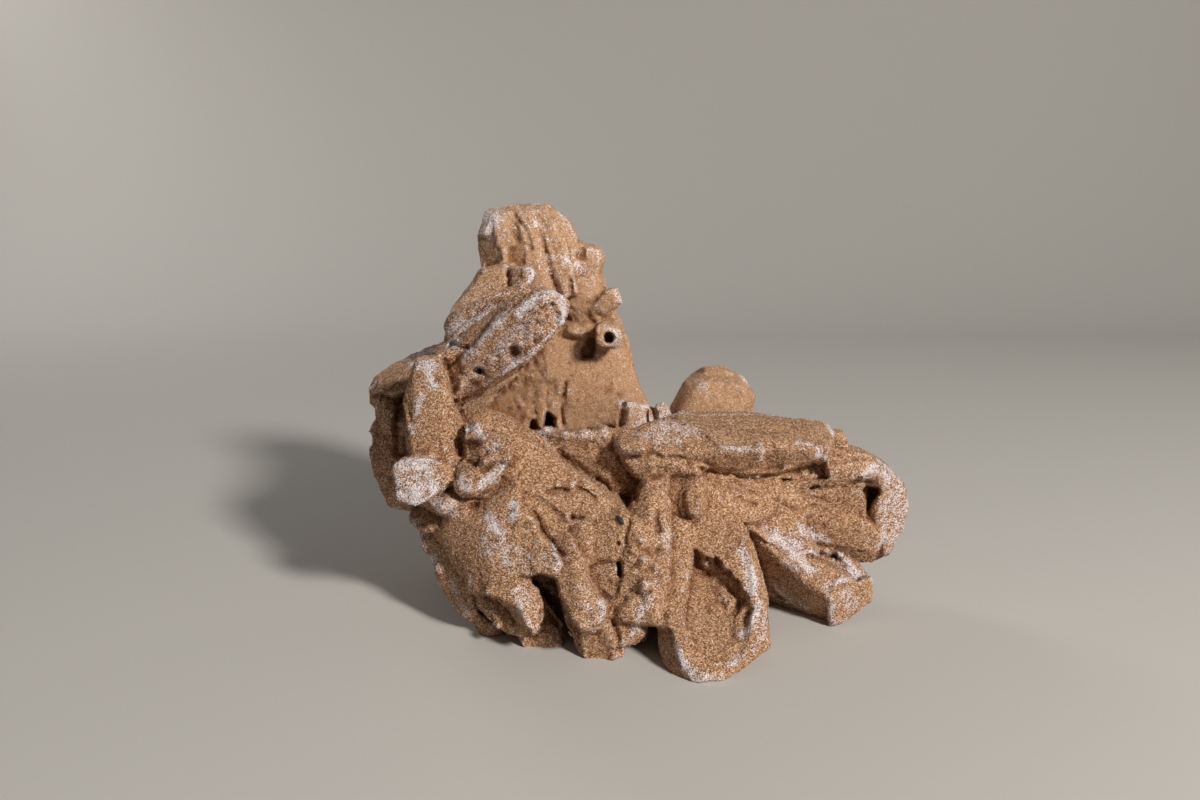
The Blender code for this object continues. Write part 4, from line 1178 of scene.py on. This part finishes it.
def ramp(tree, value, stops):
    made = node(tree, "ShaderNodeValToRGB", {0: value})
    band = made.color_ramp
    while len(band.elements) < len(stops):
        band.elements.new(0.5)
    for element, (place, colour) in zip(band.elements, stops):
        element.position = place
        element.color = (*colour, 1.0)
    return made.outputs[0]


def gloss(tree, value, *stops):
    """A roughness that goes through the given stops, each a place and a roughness."""
    return ramp(tree, value, [(place, (much,) * 3) for place, much in stops])


def mixed(tree, share, a, b, blend="MIX"):
    made = node(tree, "ShaderNodeMix", {0: share, 6: a, 7: b}, data_type="RGBA", blend_type=blend)
    return made.outputs[2]


def cells(tree, where, size):
    """Grains of about the given size: two random numbers for each, and the way from its middle."""
    made = node(tree, "ShaderNodeTexVoronoi", {"Vector": where, "Scale": 1 / (size * MM), "Randomness": 1.0})
    apart = node(tree, "ShaderNodeSeparateColor", {0: made.outputs["Color"]})
    return apart.outputs[0], apart.outputs[1], made.outputs["Distance"]


def cloud(tree, where, size, detail=3.0):
    inputs = {"Vector": where, "Scale": 1 / (size * MM), "Detail": detail, "Roughness": 0.55}
    return node(tree, "ShaderNodeTexNoise", inputs).outputs["Fac"]


def bump(tree, strength, distance, height, **below):
    """A bump of a height in millimetres, on top of another one if it is given."""
    inputs = {"Strength": strength, "Distance": distance * MM, "Height": height, **below}
    return node(tree, "ShaderNodeBump", inputs).outputs[0]


def marked(tree, name):
    return node(tree, "ShaderNodeAttribute", attribute_name=name).outputs["Fac"]


def centred(tree, value, times):
    """A value from 0 to 1, moved to lie round 0 and made larger."""
    return maths(tree, maths(tree, value, 0.5, "SUBTRACT"), times, "MULTIPLY")


def fineness(tree):
    return maths(tree, marked(tree, "fine"), FINE_SHARE, "MULTIPLY")


def crusted(tree, where, sand, grain, other):
    """The sand's colour, even where it is fine, with painted shade darkening it in hollows, and white gypsum
    where the crust is.
    """
    sand = mixed(tree, fineness(tree), sand, FINE_SAND)
    # Painted shade: darker, warmer sand where the "hollow" value marks a hollow or crease.
    sand = mixed(tree, marked(tree, "hollow"), sand, mixed(tree, 1.0, sand, PAINTED_SHADE_TINT, "MULTIPLY"))
    patchy = centred(tree, cloud(tree, where, 1.5, 4.0), 1.2)
    share = maths(tree, maths(tree, marked(tree, "crust"), patchy), centred(tree, grain, 1.1))
    limits = {"Value": share, "From Min": CRUST_EDGE[0], "From Max": CRUST_EDGE[1]}
    share = node(tree, "ShaderNodeMapRange", limits, interpolation_type="SMOOTHSTEP").outputs[0]
    return mixed(tree, share, sand, mixed(tree, other, *WHITE))


def blank(name):
    """A new material and its tree of nodes."""
    material = bpy.data.materials.new(name)
    material.use_nodes = True
    return material, material.node_tree


def dress(tree, looks):
    """Sets the shader's inputs."""
    shader = tree.nodes["Principled BSDF"]
    for name, value in looks.items():
        connect(tree, value, shader.inputs[name])


def sandy_gypsum():
    """Sand that is grown into gypsum: grains of several browns, with white crust on worn places."""
    material, tree = blank("sandy_gypsum_grains")
    where = node(tree, "ShaderNodeTexCoord").outputs["Object"]
    pick, other, middle = cells(tree, where, COARSE_GRAIN)
    pick_fine, other_fine, _ = cells(tree, where, FINE_GRAIN)
    coarse_part = maths(tree, pick, COARSE_COUNTS, "MULTIPLY")
    sand = ramp(tree, maths(tree, coarse_part, maths(tree, pick_fine, 1 - COARSE_COUNTS, "MULTIPLY")), SAND)
    tint = ramp(tree, cloud(tree, where, 11.0), ((0.35, (0, 0, 0)), (0.65, (1, 1, 1))))
    sand = mixed(tree, tint, sand, mixed(tree, 1.0, sand, PATCH_TINT, "MULTIPLY"))
    strength = maths(tree, 1.0, fineness(tree), "SUBTRACT")
    grain = bump(tree, strength, 0.17, maths(tree, 1.0, middle, "SUBTRACT"))
    dress(tree, {
        "Base Color": crusted(tree, where, sand, pick_fine, other),
        "Roughness": gloss(tree, other_fine, (0.0, 0.95), (0.93, 0.85), (1.0, 0.3)),
        "Specular IOR Level": 0.35,
        "Normal": bump(tree, 0.6, 0.25, cloud(tree, where, 0.8, 4.0), Normal=grain),
    })
    return material


def loose_sand():
    """The same sand on the loose grains, with one colour to a grain."""
    material, tree = blank("sandy_gypsum_loose")
    where = node(tree, "ShaderNodeTexCoord").outputs["Object"]
    tone = marked(tree, "tone")
    other = maths(tree, maths(tree, tone, 7.0, "MULTIPLY"), 1.0, "MODULO")
    dress(tree, {
        "Base Color": crusted(tree, where, ramp(tree, tone, SAND), other, other),
        "Roughness": gloss(tree, other, (0.0, 0.9), (0.85, 0.75), (1.0, 0.3)),
        "Specular IOR Level": 0.4,
        "Normal": bump(tree, 0.5, 0.1, cloud(tree, where, 0.2, 2.0)),
    })
    return material


def plain(name, colour, roughness):
    material, tree = blank(name)
    dress(tree, {"Base Color": (*colour, 1.0), "Roughness": roughness, "Specular IOR Level": 0.2})
    return material


def lamp(name, way, size, watts, colour):
    """A round lamp, in metres, in the given direction from the stone."""
    light = bpy.data.lights.new(name, "AREA")
    light.shape = "DISK"
    light.size = size
    light.energy = watts
    light.color = colour
    obj = placed(name, light)
    obj.location = Vector(LIT_POINT) + Vector(way).normalized() * LAMP_DISTANCE
    obj.rotation_mode = "QUATERNION"
    obj.rotation_quaternion = Vector(way).to_track_quat("Z", "Y")


def backdrop():
    """A pale floor that curves up behind."""
    start = FLOOR_DEPTH - FLOOR_BEND
    profile = [(FLOOR_FRONT, 0.0), (start, 0.0)]
    for a in np.linspace(0.1, math.pi / 2, BEND_STEPS):
        profile.append((start + FLOOR_BEND * math.sin(a), FLOOR_BEND - FLOOR_BEND * math.cos(a)))
    profile.append((FLOOR_DEPTH, FLOOR_HEIGHT))
    points = [(x, y, z) for y, z in profile for x in (-FLOOR_HALF, FLOOR_HALF)]
    faces = [(2 * i, 2 * i + 1, 2 * i + 3, 2 * i + 2) for i in range(len(profile) - 1)]
    mesh = bpy.data.meshes.new("floor")
    mesh.from_pydata(points, [], faces)
    shade_smooth(mesh)
    mesh.materials.append(plain("floor_pale", (0.55, 0.53, 0.50), 0.8))
    floor = placed("floor", mesh)


def studio():
    """The floor, a lamp at the front right, a weaker one at the back left, and a little light all round."""
    backdrop()
    lamp("key", (0.52, -0.70, 0.50), 0.13, 10.2, (1.0, 0.97, 0.92))
    lamp("back", (-0.50, 0.80, 0.42), 0.40, 2.6, (1.0, 0.98, 0.96))
    world = bpy.data.worlds.new("studio")
    world.use_nodes = True
    around = world.node_tree.nodes["Background"]
    around.inputs["Color"].default_value = (0.92, 0.88, 0.84, 1)
    around.inputs["Strength"].default_value = 0.12
    bpy.context.scene.world = world


def camera():
    data = bpy.data.cameras.new("camera")
    data.sensor_width = SENSOR_WIDTH
    data.lens = FOCAL_PIXELS * SENSOR_WIDTH / PHOTO_SIZE[0]
    data.clip_start = CLIP_START
    obj = placed("camera", data)
    obj.location = Vector(EYE) * MM
    obj.rotation_euler = (math.pi / 2 - PITCH, 0, 0)
    bpy.context.scene.camera = obj


bpy.context.scene.view_settings.view_transform = "Standard"
camera()
made, seed_ends, surface = stone()
for piece in made:
    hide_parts(NODE)
for piece in made + grains(*surface) + [seed(*seed_ends)]:
    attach(piece, BODY)
studio()
